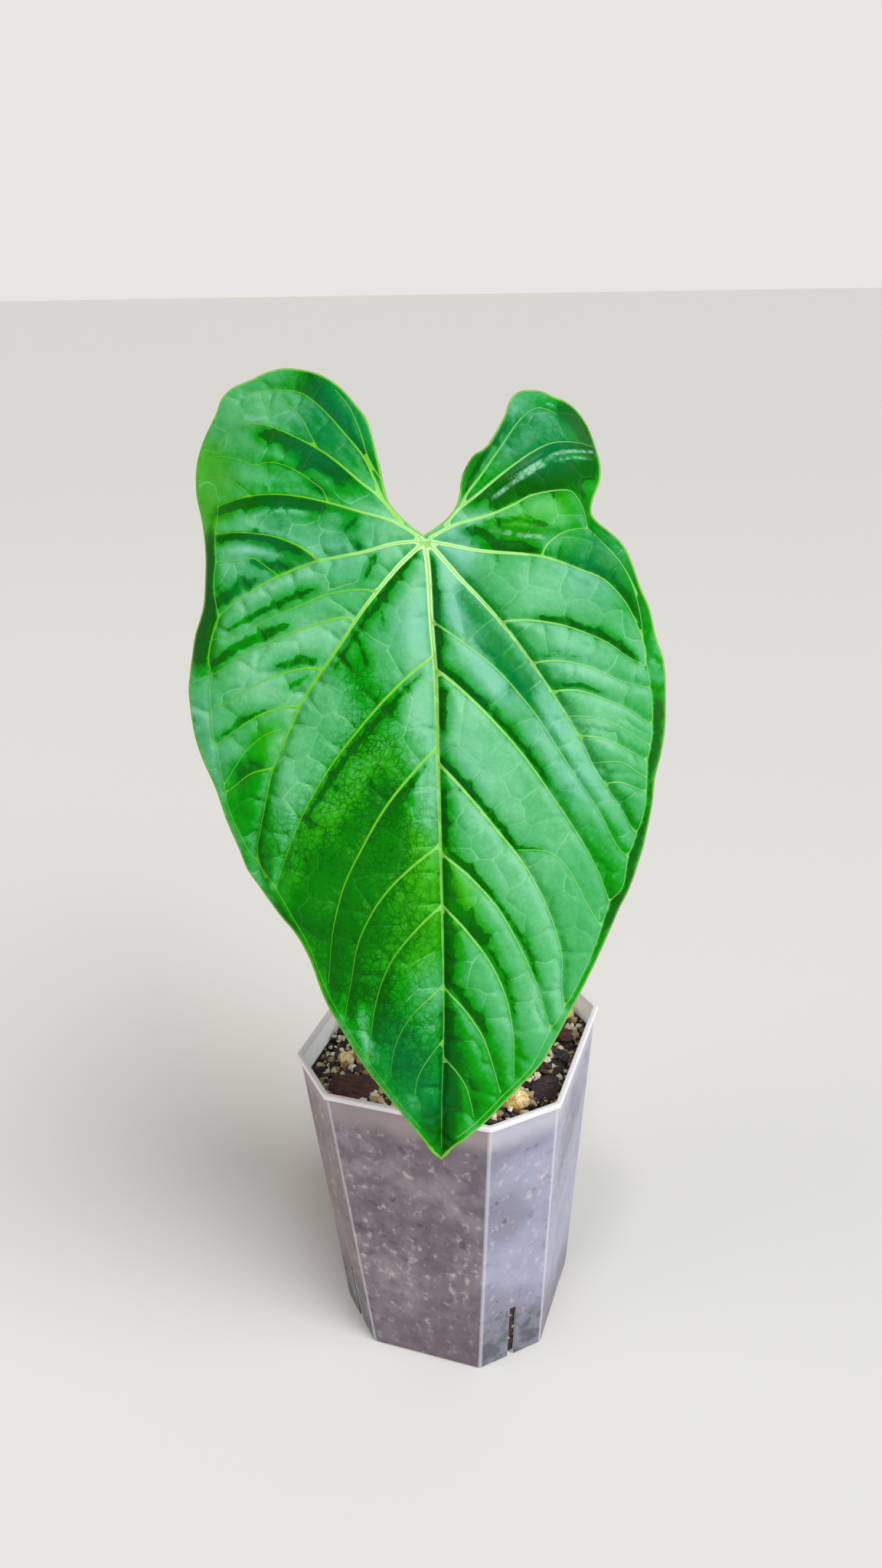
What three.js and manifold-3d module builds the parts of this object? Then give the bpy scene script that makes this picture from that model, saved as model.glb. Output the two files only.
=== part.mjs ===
// Potted anthurium hybrid: one large heart-shaped leaf in a tall frosted plastic pot.
// Millimetres, +Z up. The origin is the middle of the pot's underside, on the surface
// that it stands on. The wide pot faces look along X and Y.

import * as THREE from 'three';
import { mergeVertices } from 'three/addons/utils/BufferGeometryUtils.js';
import Module from 'manifold-3d';

// Pot: a square tub with cut corners
const POT_HEIGHT = 139;
const POT_TOP_WIDTH = 110;
const POT_BASE_WIDTH = 89.4;
const POT_CORNER_CUT = 20.8;
const POT_WALL = 1.1;
const POT_FLOOR = 1.8;
const LIP_OVERHANG = 1.0;
const LIP_HEIGHT = 2.4;
const SLIT_WIDTH = 3.2;
const SLIT_HEIGHT = 31;
const SLIT_DEPTH = 12;
const DRAIN_HOLE_RADIUS = 3;
const DRAIN_RING_RADIUS = 26;
const DRAIN_HOLE_COUNT = 8;

// Growing mix
const GAP = 0.3;
const MIX_TOP = 128.5;
const MIX_MOUND = 3.5;
const MOUND_REACH = 22.4;
const MIX_GRID = 11;
const GRANULE_COUNT = 105;
const GRANULE_SMALLEST = 1.5;
const GRANULE_LARGEST = 3.1;
const GRANULE_AREA = 0.94;
const MIX_SEED = 41;
const LOOSE_SEED = 100;

// Stem, roots and leaf stalk
const STEM_BEHIND = 2;
const STEM_RADIUS = 6.2;
const STEM_TOP = 147;
const STEM_FOOT = 104;
const ROOT_RADIUS = 1.7;
const ROOT_COUNT = 5;
const ROOT_REACH = 15;
const ROOT_FOOT = 117;
const CATAPHYLL_FOOT = 138.5;
const CATAPHYLL_LENGTH = 36;
const CATAPHYLL_FLARE = 2.5;
const CATAPHYLL_THICKNESS = 0.8;
const STALK_BASE_RADIUS = 4.0;
const STALK_RADIUS = 2.6;
const STALK_KNEE_RADIUS = 3.1;
const STALK_SIDES = 10;

// Blade: its joint with the stalk, the way it faces and how far its tip swings out
const JOINT = [2.4, -18.2, 349.3];
const FACING_ANGLE = 19.46;
const BLADE_TILT = 20;
const BLADE_THICKNESS = 0.8;
const BLADE_GRID = 4.7;
const BLADE_STEP = 4.0;
const BOSS_CENTRE = [0.3, 3.6];
const BOSS_RADIUS = 3.4;
const BOSS_DEPTH = 4.0;
const PUFF_WIDTH = 5;
const VEIN_SPACING = 1.7;
const EDGE_RIB = 0.3;
const FOLD_REACH = 13;
const BLADE_SEED = 7;

// Blade outline, in mm across and down from the joint, first up the notch between the
// lobes, then round the lobe and down to the tip
const LEFT_MARGIN = [
  [0, 0], [-3.5, -2.5], [-9.5, -8.5], [-12.3, -14], [-14.2, -24.5], [-17, -37],
  [-20.5, -43], [-27, -51], [-35, -56.5], [-45, -59.5], [-52, -58.8], [-57.5, -56.8],
  [-64, -54.8], [-68.2, -51.5], [-70.5, -46.5], [-75, -38], [-77.7, -29], [-77.8, -19.5],
  [-76, -11], [-74.5, -3], [-74.1, 7], [-75, 18], [-77.5, 25], [-79.5, 31], [-81, 41],
  [-81.3, 50], [-80, 62], [-77.5, 71], [-73, 81.5], [-69.6, 93], [-66.5, 102],
  [-64, 109.5], [-60, 115], [-52, 124.5], [-47.5, 130.5], [-43.2, 140.5], [-39, 153],
  [-32, 166.5], [-26, 177.5], [-15, 193], [-7, 204], [-4, 208.7], [-1, 211.5],
];
const RIGHT_MARGIN = [
  [0, 0], [4.6, -2.7], [8, -5.4], [10.5, -8.5], [12, -12.5], [12.6, -17], [14, -21.5],
  [17, -25.8], [20, -27.2], [22.5, -29.5], [25.6, -34.6], [28, -39], [29.5, -43.5],
  [32, -47.3], [36, -49], [41, -49], [45.5, -47.3], [50, -46.4], [55, -43.7],
  [58.9, -38.8], [60.9, -31], [61.2, -24], [60.2, -18], [57.6, -12], [56.9, -7.8],
  [58.4, -4.8], [63, 0.5], [67.2, 6.5], [71.7, 19], [74.8, 26], [77, 35.7], [79.6, 43.5],
  [80.8, 55], [80.6, 64.5], [78.2, 75], [75.5, 83], [74.3, 91], [72.6, 99.4],
  [70.5, 108], [66, 119], [58.2, 134.6], [51, 148.5], [43.8, 161.7], [37.3, 173.2],
  [33, 179.5], [24.4, 188], [15.2, 197.5], [8, 203.5], [3, 207.3], [-1, 211.5],
];

// Veins in the same coordinates. rib is how far the vein stands out under the blade
// where it starts, and it thins out to its end.
const VEINS = [
  { rib: 2.4, line: [[0, 2], [1, 12], [1.4, 28], [2.3, 48], [2.1, 75], [2, 110],
    [1.6, 145], [0.9, 170], [-0.3, 190], [-1, 208]] },
  { rib: 1.0, line: [[-7, -4.5], [-11.5, -9], [-14.5, -15.5], [-18.8, -25.7], [-25, -34],
    [-34.2, -45.2], [-41.5, -50.8], [-51.4, -52.6], [-60.4, -52.2]] },
  { rib: 1.2, line: [[-8, -5.8], [-15, -13.5], [-20, -17.6], [-30.2, -26.6], [-40, -33],
    [-51.6, -39], [-60.5, -40.4], [-65.2, -39], [-69.6, -35]] },
  { rib: 1.4, line: [[-1.5, 0.8], [-10, -4.7], [-20.3, -8], [-30.6, -11.3], [-40.6, -13.9],
    [-50, -15.1], [-59, -14.7], [-68.7, -12.9]] },
  { rib: 1.6, line: [[-1, 2], [-10, 2.5], [-20, 4.8], [-35, 7.2], [-44.6, 10],
    [-53.8, 13.8], [-65.6, 20.6], [-70.2, 24.7], [-72.6, 31], [-74, 38], [-73.2, 43.5]] },
  { rib: 0.8, line: [[-35, 7.2], [-41, 2.5], [-49.8, -1.3], [-60.3, -3.1], [-68.9, -3.4]] },
  { rib: 2.0, line: [[-1, 3], [-9.8, 11], [-20.7, 23.5], [-29, 35], [-40.5, 50.6],
    [-46.7, 62], [-53.2, 76], [-57, 90], [-60.2, 103.4], [-58, 112.5]] },
  { rib: 0.6, line: [[-16, 18], [-22, 17.3], [-32, 18.3], [-42.5, 22], [-55.5, 27],
    [-64, 30.8], [-72, 31.8]] },
  { rib: 0.8, line: [[-24.3, 26.7], [-28.5, 26.3], [-39.8, 28.9], [-50.5, 32.6],
    [-60.3, 36.6], [-68.7, 41.5], [-73.2, 43.5]] },
  { rib: 0.7, line: [[-34.6, 43], [-40.3, 42.4], [-49.2, 44.1], [-57.2, 47.1],
    [-65.5, 51.5], [-73, 55.7]] },
  { rib: 0.7, line: [[-43.8, 55], [-48.6, 55], [-57, 57.6], [-64.7, 62], [-72, 67]] },
  { rib: 0.6, line: [[-53, 75.2], [-60.2, 76.7], [-66.8, 81.3], [-69.3, 83]] },
  { rib: 1.1, line: [[1.8, 40], [-5, 44.7], [-15, 53.8], [-24.4, 64], [-32.7, 74],
    [-40, 85], [-45.5, 95], [-50.7, 106.8], [-53.6, 114.7]] },
  { rib: 1.1, line: [[2, 70], [-3.8, 75.3], [-15.2, 88.4], [-24, 102.5], [-30.9, 116.1],
    [-35.3, 132.5], [-37.3, 148.6]] },
  { rib: 0.9, line: [[2, 102], [-6, 107.8], [-14.6, 115.4], [-21.1, 123.7],
    [-26.6, 134.8], [-29.4, 147.4], [-31.9, 159]] },
  { rib: 0.8, line: [[1.8, 122.5], [-5.2, 128.5], [-13.7, 138], [-18.7, 147], [-22, 158],
    [-24.6, 174]] },
  { rib: 0.5, line: [[1.4, 150], [-7, 157], [-12.5, 164], [-16, 172], [-17.5, 181]] },
  { rib: 1.4, line: [[7, -3], [11.5, -8], [17, -11.8], [25.2, -18.3], [35.5, -25.6],
    [43.8, -29.9], [54, -31.9], [58.9, -31.6]] },
  { rib: 0.8, line: [[11.8, -8.3], [14.7, -13.3], [20.1, -20], [26.2, -28.3],
    [33.2, -37.9], [39.5, -42.7], [46.4, -41.3]] },
  { rib: 1.4, line: [[1.8, 1], [10.3, -3], [20.7, -5.7], [29.5, -9.1], [36, -12.3],
    [46.6, -14.3], [50.8, -13.4], [54.3, -7.8], [55, -2]] },
  { rib: 1.6, line: [[1, 2], [7.7, 3.4], [19.1, 5.8], [38.5, 8], [50.9, 12.5],
    [59.3, 16.4], [66.3, 23.6], [70.4, 31.6], [73.3, 40.6], [72.4, 45]] },
  { rib: 0.7, line: [[38.5, 8], [40.7, 4], [46.8, 0], [55.1, -1.8]] },
  { rib: 2.0, line: [[0.8, 3], [3.7, 5.3], [11.4, 14.6], [20.2, 24.3], [28.7, 35],
    [36.5, 46.5], [42.9, 56.6], [49.4, 67.8], [54.7, 79.3], [63, 92.4], [67.3, 100.5]] },
  { rib: 0.8, line: [[24, 29.3], [33.3, 29], [46, 31.3], [59.4, 36.8], [66.5, 41.9],
    [72.4, 45]] },
  { rib: 0.6, line: [[34, 43], [43.3, 42.6], [53.9, 45.1], [63.4, 49.6], [73.8, 52.5]] },
  { rib: 0.7, line: [[40.3, 52.6], [49.6, 52.7], [60.3, 56.6], [66.6, 59.5], [74.7, 65]] },
  { rib: 0.6, line: [[49.2, 67.5], [57.8, 68.9], [66.8, 73.5], [72.3, 77]] },
  { rib: 0.5, line: [[57.8, 84], [63.2, 83.8], [71.8, 87.5]] },
  { rib: 0.6, line: [[1.6, 28], [5, 30.8], [13.1, 36.9], [23.2, 45.7], [33.3, 58],
    [40.2, 68.8], [47.3, 80.6], [55, 92.7], [61.3, 105], [65.3, 109]] },
  { rib: 1.2, line: [[2.2, 44], [10, 50.6], [20.5, 61.4], [30.8, 74], [40.2, 88.1],
    [48.4, 101.3], [54.6, 113.3], [58.4, 124.2]] },
  { rib: 1.2, line: [[2.2, 75], [10, 83.8], [20.6, 97.4], [29.9, 110.2], [37, 124.6],
    [41.4, 139.6], [41.4, 151.3], [41.8, 159]] },
  { rib: 0.9, line: [[2.3, 105], [11.3, 113], [20.4, 124], [27.3, 137], [32.8, 150.7],
    [36.9, 166.2]] },
  { rib: 0.9, line: [[2, 122.5], [9.1, 130.4], [17.2, 142.1], [22.4, 154.8],
    [24.5, 168.8], [24.3, 182]] },
  { rib: 0.7, line: [[1.5, 150.5], [7.8, 157.5], [14, 167.5], [17.4, 178.5], [19.6, 188]] },
  { rib: 0.4, line: [[0.6, 175], [4.8, 179.5], [8.4, 186.2], [10.3, 196]] },
];

// The vein that runs along each side a few mm inside the margin. Outside it the blade
// folds back, by the slope that each table gives for a height down the blade.
const LEFT_EDGE_VEIN = [
  [-68.7, -12.9], [-70, -3.4], [-70, 5.5], [-71, 14], [-70.2, 24.7], [-72.6, 31],
  [-74, 38], [-73.2, 43.5], [-73.8, 49.5], [-73.3, 61.8], [-72.1, 69], [-70, 80.6],
  [-69, 87.5], [-64.5, 100], [-60, 107.5], [-50.5, 120], [-44.6, 132], [-39.5, 147],
  [-33.9, 158.7], [-25.5, 174.2], [-16, 188.5], [-8, 199.5],
];
const RIGHT_EDGE_VEIN = [
  [55.1, -1.8], [59, 3.5], [65.8, 12.3], [70, 22], [72, 32], [73.4, 45], [74.9, 57],
  [74.7, 67], [72.5, 77.3], [71.7, 88.6], [69.6, 98], [65, 109], [62.9, 118.8],
  [58.4, 124.2], [54.8, 133.3], [49.7, 145.5], [42.8, 158.3], [36.2, 168.4],
  [29.8, 179.8], [21, 188.5], [12, 197.5], [4.5, 203.5],
];
const LEFT_FOLD = [[-14, 0.3], [0, 0.9], [36, 1.0], [48, 0.25], [90, 0.3], [120, 0.6], [200, 0.5]];
const RIGHT_FOLD = [[-2, 0.3], [30, 0.25], [48, 0.4], [60, 0.9], [85, 1.0], [125, 1.0],
  [150, 0.8], [165, 0.4], [204, 0.3]];

// Bends of the blade away from a smooth arch: where, how wide and how far to the front
const BENDS = [
  { at: [-46, -62], reach: 18, lift: -5 },
  { at: [-76, -42], reach: 17, lift: -6 },
  { at: [-84, -20], reach: 15, lift: -7 },
  { at: [-58, -26], reach: 14, lift: 2.5 },
  { at: [-26, -36], reach: 9, lift: 2 },
  { at: [-66, 106], reach: 14, lift: -4 },
  { at: [-50, 124], reach: 9, lift: 3 },
  { at: [-42, 142], reach: 12, lift: -3 },
  { at: [46, -33], reach: 14, lift: 4 },
  { at: [66, -40], reach: 15, lift: -13 },
  { at: [33, -56], reach: 12, lift: -6 },
  { at: [59, -6], reach: 8, lift: -8 },
  { at: [11, -24], reach: 6, lift: -6 },
  { at: [42, -19], reach: 8, lift: 3 },
  { at: [62, 14], reach: 12, lift: 2.5 },
  { at: [84, 60], reach: 12, lift: -4 },
];

// Repeatable random numbers from 0 to 1
function seededRandom(seed) {
  let state = seed;
  return () => {
    state = (state * 1664525 + 1013904223) % 4294967296;
    return state / 4294967296;
  };
}

function smoothStep(low, high, value) {
  const t = Math.min(Math.max((value - low) / (high - low), 0), 1);
  return t * t * (3 - 2 * t);
}

function lookUp(table, value) {
  if (value <= table[0][0]) return table[0][1];
  for (let i = 1; i < table.length; i++) {
    const [x0, y0] = table[i - 1];
    const [x1, y1] = table[i];
    if (value <= x1) return y0 + (y1 - y0) * (value - x0) / (x1 - x0);
  }
  return table[table.length - 1][1];
}

function distance2(a, b) {
  return Math.hypot(a[0] - b[0], a[1] - b[1]);
}

// Points at an even step along a smooth curve through the given points
function smoothLine(points, step) {
  const curve = new THREE.SplineCurve(points.map((p) => new THREE.Vector2(p[0], p[1])));
  const count = Math.max(Math.round(curve.getLength() / step), 2);
  return curve.getSpacedPoints(count).map((p) => [p.x, p.y]);
}

function closedGeometry(positions, index) {
  const geometry = new THREE.BufferGeometry();
  geometry.setAttribute('position', new THREE.Float32BufferAttribute(positions, 3));
  geometry.setIndex(index);
  return geometry;
}

// Closed solids for joins and cuts
const wasm = await Module();
wasm.setup();

function toSolid(geometry) {
  const bare = geometry.clone();
  bare.deleteAttribute('normal');
  bare.deleteAttribute('uv');
  const merged = mergeVertices(bare, 1e-4);
  const mesh = new wasm.Mesh({
    numProp: 3,
    vertProperties: new Float32Array(merged.attributes.position.array),
    triVerts: new Uint32Array(merged.index.array),
  });
  return new wasm.Manifold(mesh);
}

function toGeometry(solid) {
  const mesh = solid.getMesh();
  return closedGeometry(Array.from(mesh.vertProperties), Array.from(mesh.triVerts));
}

// The largest body of a solid, without loose scraps and closed-off hollows
function largestBody(solid) {
  const bodies = solid.decompose();
  return bodies.reduce((a, b) => (b.volume() > a.volume() ? b : a));
}

// Delaunay triangles of points in the plane, by adding them one at a time
function delaunay(points) {
  const far = 1e4;
  const all = points.concat([[-far, -far], [far, -far], [0, far]]);
  const circle = (a, b, c) => {
    const [ax, ay] = all[a];
    const [bx, by] = [all[b][0] - ax, all[b][1] - ay];
    const [cx, cy] = [all[c][0] - ax, all[c][1] - ay];
    const d = 2 * (bx * cy - by * cx);
    const x = (cy * (bx * bx + by * by) - by * (cx * cx + cy * cy)) / d;
    const y = (bx * (cx * cx + cy * cy) - cx * (bx * bx + by * by)) / d;
    return { a, b, c, x: ax + x, y: ay + y, r2: x * x + y * y };
  };
  let triangles = [circle(points.length, points.length + 1, points.length + 2)];
  points.forEach(([px, py], i) => {
    const edges = new Map();
    const kept = [];
    for (const t of triangles) {
      if ((px - t.x) ** 2 + (py - t.y) ** 2 < t.r2) {
        for (const [p, q] of [[t.a, t.b], [t.b, t.c], [t.c, t.a]]) {
          if (!edges.delete(`${q},${p}`)) edges.set(`${p},${q}`, [p, q]);
        }
      } else {
        kept.push(t);
      }
    }
    triangles = kept;
    for (const [p, q] of edges.values()) triangles.push(circle(p, q, i));
  });
  const inside = triangles.filter((t) => Math.max(t.a, t.b, t.c) < points.length);
  return inside.map((t) => [t.a, t.b, t.c]);
}

function isInside(outline, x, y) {
  let inside = false;
  for (let i = 0, j = outline.length - 1; i < outline.length; j = i++) {
    const [xi, yi] = outline[i];
    const [xj, yj] = outline[j];
    if ((yi > y) !== (yj > y) && x < (xj - xi) * (y - yi) / (yj - yi) + xi) inside = !inside;
  }
  return inside;
}

// Triangles that fill an outline, and its edges in order, from scattered points
function fillOutline(points, outline) {
  const triangles = delaunay(points).filter(([a, b, c]) => {
    const x = (points[a][0] + points[b][0] + points[c][0]) / 3;
    const y = (points[a][1] + points[b][1] + points[c][1]) / 3;
    return isInside(outline, x, y);
  });
  return { triangles, edges: boundaryEdges(triangles) };
}

// Edges that only one triangle has, each in that triangle's direction
function boundaryEdges(triangles) {
  const edges = new Map();
  for (const [a, b, c] of triangles) {
    for (const [p, q] of [[a, b], [b, c], [c, a]]) {
      if (!edges.delete(`${q},${p}`)) edges.set(`${p},${q}`, [p, q]);
    }
  }
  return [...edges.values()];
}

// Scattered points that keep their distance from those that are already there
function addGridPoints(points, outline, grid, clearance, random) {
  const xs = outline.map((p) => p[0]);
  const ys = outline.map((p) => p[1]);
  const fixed = points.slice();
  const rowHeight = grid * Math.sqrt(3) / 2;
  const scatter = () => (random() - 0.5) * grid / 5;
  let row = 0;
  for (let y = Math.min(...ys); y < Math.max(...ys); y += rowHeight) {
    const shift = (row % 2) * grid / 2;
    for (let x = Math.min(...xs) + shift; x < Math.max(...xs); x += grid) {
      const spot = [x + scatter(), y + scatter()];
      const free = fixed.every((p) => distance2(p, spot) > clearance);
      if (free && isInside(outline, ...spot)) points.push(spot);
    }
    row += 1;
  }
}

// A closed solid between two faces that share one set of triangles, which run
// counterclockwise seen from outside the first face
function solidBetween(first, second, triangles, edges) {
  const count = first.length;
  const index = [];
  for (const [a, b, c] of triangles) {
    index.push(a, b, c);
    index.push(a + count, c + count, b + count);
  }
  for (const [p, q] of edges) {
    index.push(q, p, p + count);
    index.push(q, p + count, q + count);
  }
  return closedGeometry(first.concat(second).flat(), index);
}

// A round solid along a smooth path, with its own radius at each of the path's points
function taperedTube(path, radii, sides, steps) {
  const curve = new THREE.CatmullRomCurve3(path.map((p) => new THREE.Vector3(...p)));
  const frames = curve.computeFrenetFrames(steps, false);
  const positions = [];
  for (let i = 0; i <= steps; i++) {
    const centre = curve.getPointAt(i / steps);
    const place = curve.getUtoTmapping(i / steps) * (radii.length - 1);
    const k = Math.min(Math.floor(place), radii.length - 2);
    const radius = radii[k] + (radii[k + 1] - radii[k]) * (place - k);
    for (let j = 0; j < sides; j++) {
      const angle = 2 * Math.PI * j / sides;
      const point = centre.clone()
        .addScaledVector(frames.normals[i], radius * Math.cos(angle))
        .addScaledVector(frames.binormals[i], radius * Math.sin(angle));
      positions.push(point.x, point.y, point.z);
    }
  }
  return closedRings(positions, sides, steps + 1);
}

// Rings of equal size joined one to the next, and closed flat at both ends
function closedRings(positions, sides, rings) {
  const index = [];
  for (let i = 0; i + 1 < rings; i++) {
    for (let j = 0; j < sides; j++) {
      const a = i * sides + j;
      const b = i * sides + (j + 1) % sides;
      index.push(a, b, b + sides, a, b + sides, a + sides);
    }
  }
  const last = (rings - 1) * sides;
  for (let j = 1; j + 1 < sides; j++) {
    index.push(0, j + 1, j);
    index.push(last, last + j, last + j + 1);
  }
  return closedGeometry(positions, index);
}

// Pot

function potHalfWidth(z) {
  return (POT_BASE_WIDTH + (POT_TOP_WIDTH - 2 * LIP_OVERHANG - POT_BASE_WIDTH) * z / POT_HEIGHT) / 2;
}

// The square with cut corners, moved in by a distance on every side
function cutSquare(halfWidth, inset) {
  const h = halfWidth - inset;
  const k = h - POT_CORNER_CUT + inset * (2 - Math.SQRT2);
  return [[k, -h], [h, -k], [h, k], [k, h], [-k, h], [-h, k], [-h, -k], [-k, -h]];
}

function potGeometry() {
  const wallTop = potHalfWidth(POT_HEIGHT);
  const lipFoot = POT_HEIGHT - LIP_HEIGHT;
  const rings = [
    { z: 0, half: potHalfWidth(0), inset: 0 },
    { z: lipFoot - LIP_OVERHANG, half: potHalfWidth(lipFoot - LIP_OVERHANG), inset: 0 },
    { z: lipFoot, half: wallTop, inset: -LIP_OVERHANG * 0.8 },
    { z: POT_HEIGHT, half: wallTop, inset: -LIP_OVERHANG },
    { z: POT_HEIGHT, half: wallTop, inset: POT_WALL },
    { z: POT_FLOOR, half: potHalfWidth(POT_FLOOR), inset: POT_WALL },
  ];
  const positions = rings.flatMap(({ z, half, inset }) => (
    cutSquare(half, inset).flatMap(([x, y]) => [x, y, z])
  ));
  const tub = toSolid(closedRings(positions, 8, rings.length));
  return toGeometry(tub.subtract(wasm.Manifold.union([...slitSolids(), ...drainHoleSolids()])));
}

// One slit in each cut corner, open through the pot's lower edge
function slitSolids() {
  const middle = (2 * potHalfWidth(0) - POT_CORNER_CUT) / Math.SQRT2;
  return [0, 1, 2, 3].map((i) => {
    const slit = new THREE.BoxGeometry(SLIT_DEPTH, SLIT_WIDTH, SLIT_HEIGHT + 1);
    slit.translate(middle, 0, (SLIT_HEIGHT - 1) / 2);
    slit.rotateZ(Math.PI / 4 + i * Math.PI / 2);
    return toSolid(slit);
  });
}

function drainHoleSolids() {
  const holes = [];
  for (let i = 0; i < DRAIN_HOLE_COUNT; i++) {
    const angle = 2 * Math.PI * i / DRAIN_HOLE_COUNT;
    const hole = new THREE.CylinderGeometry(DRAIN_HOLE_RADIUS, DRAIN_HOLE_RADIUS, 3 * POT_FLOOR, 8);
    hole.rotateX(Math.PI / 2);
    hole.translate(DRAIN_RING_RADIUS * Math.cos(angle), DRAIN_RING_RADIUS * Math.sin(angle), 0);
    holes.push(toSolid(hole));
  }
  return holes;
}

// Growing mix

function mixHeight(x, y) {
  const mound = MIX_MOUND * Math.exp(-(x * x + y * y) / (MOUND_REACH * MOUND_REACH));
  const hollows = 0.9 * Math.sin(x / 8 + 1) * Math.cos(y / 9) + 0.6 * Math.sin(x / 5 + y / 6);
  return MIX_TOP + mound + hollows;
}

function mixOutline(z) {
  return cutSquare(potHalfWidth(z), POT_WALL + GAP);
}

function mixBody() {
  const random = seededRandom(MIX_SEED);
  const corners = mixOutline(MIX_TOP);
  const rim = [];
  const foot = [];
  const footCorners = mixOutline(POT_FLOOR + GAP);
  corners.forEach((corner, i) => {
    const next = corners[(i + 1) % 8];
    const footNext = footCorners[(i + 1) % 8];
    const count = Math.round(distance2(corner, next) / MIX_GRID);
    for (let j = 0; j < count; j++) {
      const t = j / count;
      rim.push([corner[0] + (next[0] - corner[0]) * t, corner[1] + (next[1] - corner[1]) * t]);
      foot.push([
        footCorners[i][0] + (footNext[0] - footCorners[i][0]) * t,
        footCorners[i][1] + (footNext[1] - footCorners[i][1]) * t,
      ]);
    }
  });
  const points = rim.slice();
  addGridPoints(points, corners, MIX_GRID, MIX_GRID * 0.6, random);
  const { triangles } = fillOutline(points, corners);
  const positions = points.flatMap(([x, y], i) => [x, y, i < rim.length ? MIX_TOP : mixHeight(x, y)]);
  const first = points.length;
  foot.forEach(([x, y]) => positions.push(x, y, POT_FLOOR + GAP));
  const index = triangles.flat();
  for (let i = 0; i < rim.length; i++) {
    const next = (i + 1) % rim.length;
    index.push(i, first + i, first + next, i, first + next, next);
    if (i > 0 && i + 1 < rim.length) index.push(first, first + i + 1, first + i);
  }
  return toSolid(closedGeometry(positions, index));
}

// A broken lump with flat facets, its size given along three axes
function lumpGeometry(size, detail, roughness, random) {
  const ball = new THREE.IcosahedronGeometry(1, detail);
  ball.deleteAttribute('normal');
  ball.deleteAttribute('uv');
  const lump = mergeVertices(ball, 1e-4);
  const position = lump.attributes.position;
  for (let i = 0; i < position.count; i++) {
    const swell = 1 + (random() - 0.5) * roughness;
    position.setXYZ(
      i,
      position.getX(i) * swell * size[0],
      position.getY(i) * swell * size[1],
      position.getZ(i) * swell * size[2],
    );
  }
  return lump;
}

// Small granules all over the top, sunk half into the mix
function granuleSolids() {
  const random = seededRandom(MIX_SEED + 1);
  const area = mixOutline(MIX_TOP).map(([x, y]) => [x * GRANULE_AREA, y * GRANULE_AREA]);
  const granules = [];
  while (granules.length < GRANULE_COUNT) {
    const x = (random() - 0.5) * POT_TOP_WIDTH;
    const y = (random() - 0.5) * POT_TOP_WIDTH;
    const radius = GRANULE_SMALLEST + (GRANULE_LARGEST - GRANULE_SMALLEST) * random() ** 2;
    if (!isInside(area, x, y)) continue;
    const lump = lumpGeometry([radius * 1.2, radius, radius * 0.85], 0, 0.35, random);
    lump.rotateZ(random() * Math.PI * 2);
    lump.translate(x, y, mixHeight(x, y) + radius * 0.25);
    granules.push(toSolid(lump));
  }
  return granules;
}

// Large loose pieces of the mix. size is half the piece along its three axes, lean is
// its tilt and turn its heading in degrees, rise is how far its middle lies above the mix.
const BARK_CHIPS = [
  { at: [-28, -37.5], size: [12, 6.5, 2.2], lean: [14, 6], turn: 8, rise: 1.6 },
  { at: [44.5, -15.5], size: [6.5, 5, 1.9], lean: [10, -14], turn: 60, rise: 1.5 },
  { at: [-43, 12], size: [8, 4.5, 2], lean: [-8, 10], turn: 95, rise: 1.4 },
  { at: [22, 34], size: [9, 5, 2], lean: [12, 0], turn: 20, rise: 1.3 },
  { at: [-18, 36], size: [8, 5.5, 2.2], lean: [-10, 12], turn: 150, rise: 1.4 },
  { at: [8, -30], size: [8, 4.5, 2], lean: [8, 10], turn: 40, rise: 1.2 },
  { at: [43, 22], size: [7, 4, 1.8], lean: [0, 15], turn: 110, rise: 1.2 },
];
const PUMICE_CHUNKS = [
  { at: [36, -27], size: [5.4, 4.8, 4.2], lean: [10, 0], turn: 0, rise: 1.6 },
  { at: [40, 36], size: [4.2, 3.6, 3], lean: [0, 20], turn: 40, rise: 1.2 },
  { at: [-40, -20], size: [3.8, 3.2, 2.8], lean: [20, 0], turn: 70, rise: 1.2 },
  { at: [-30, 22], size: [4.4, 3.6, 3.2], lean: [0, 10], turn: 20, rise: 1.2 },
  { at: [2, 41], size: [4, 3.4, 3], lean: [15, 0], turn: 130, rise: 1.2 },
  { at: [-8, -42], size: [3.8, 3.2, 2.8], lean: [0, 15], turn: 10, rise: 1.1 },
  { at: [30, 6], size: [4, 3.6, 3], lean: [10, 10], turn: 80, rise: 1.2 },
  { at: [-20, -15], size: [4, 3.4, 3], lean: [0, 0], turn: 45, rise: 1.2 },
];
const CHARCOAL_LUMPS = [
  { at: [-46, -4], size: [4.4, 3.2, 2.8], lean: [12, 8], turn: 30, rise: 1.4 },
  { at: [46, 6], size: [4, 3.4, 3], lean: [0, 12], turn: 75, rise: 1.3 },
  { at: [30, 20], size: [4.4, 3.4, 2.8], lean: [8, 0], turn: 120, rise: 1.3 },
  { at: [-36, 36], size: [4, 3.2, 3], lean: [0, 10], turn: 10, rise: 1.3 },
  { at: [20, -42], size: [3.8, 3, 2.6], lean: [10, 0], turn: 160, rise: 1.2 },
  { at: [-28, 2], size: [4, 3.2, 2.8], lean: [5, 5], turn: 200, rise: 1.2 },
];
const LOOSE_PIECES = [
  ...BARK_CHIPS.map((piece, i) => ({ ...piece, kind: 'bark', name: `bark_chip_${i + 1}` })),
  ...PUMICE_CHUNKS.map((piece, i) => ({ ...piece, kind: 'pumice', name: `pumice_chunk_${i + 1}` })),
  ...CHARCOAL_LUMPS.map((piece, i) => ({ ...piece, kind: 'charcoal', name: `charcoal_lump_${i + 1}` })),
];

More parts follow.
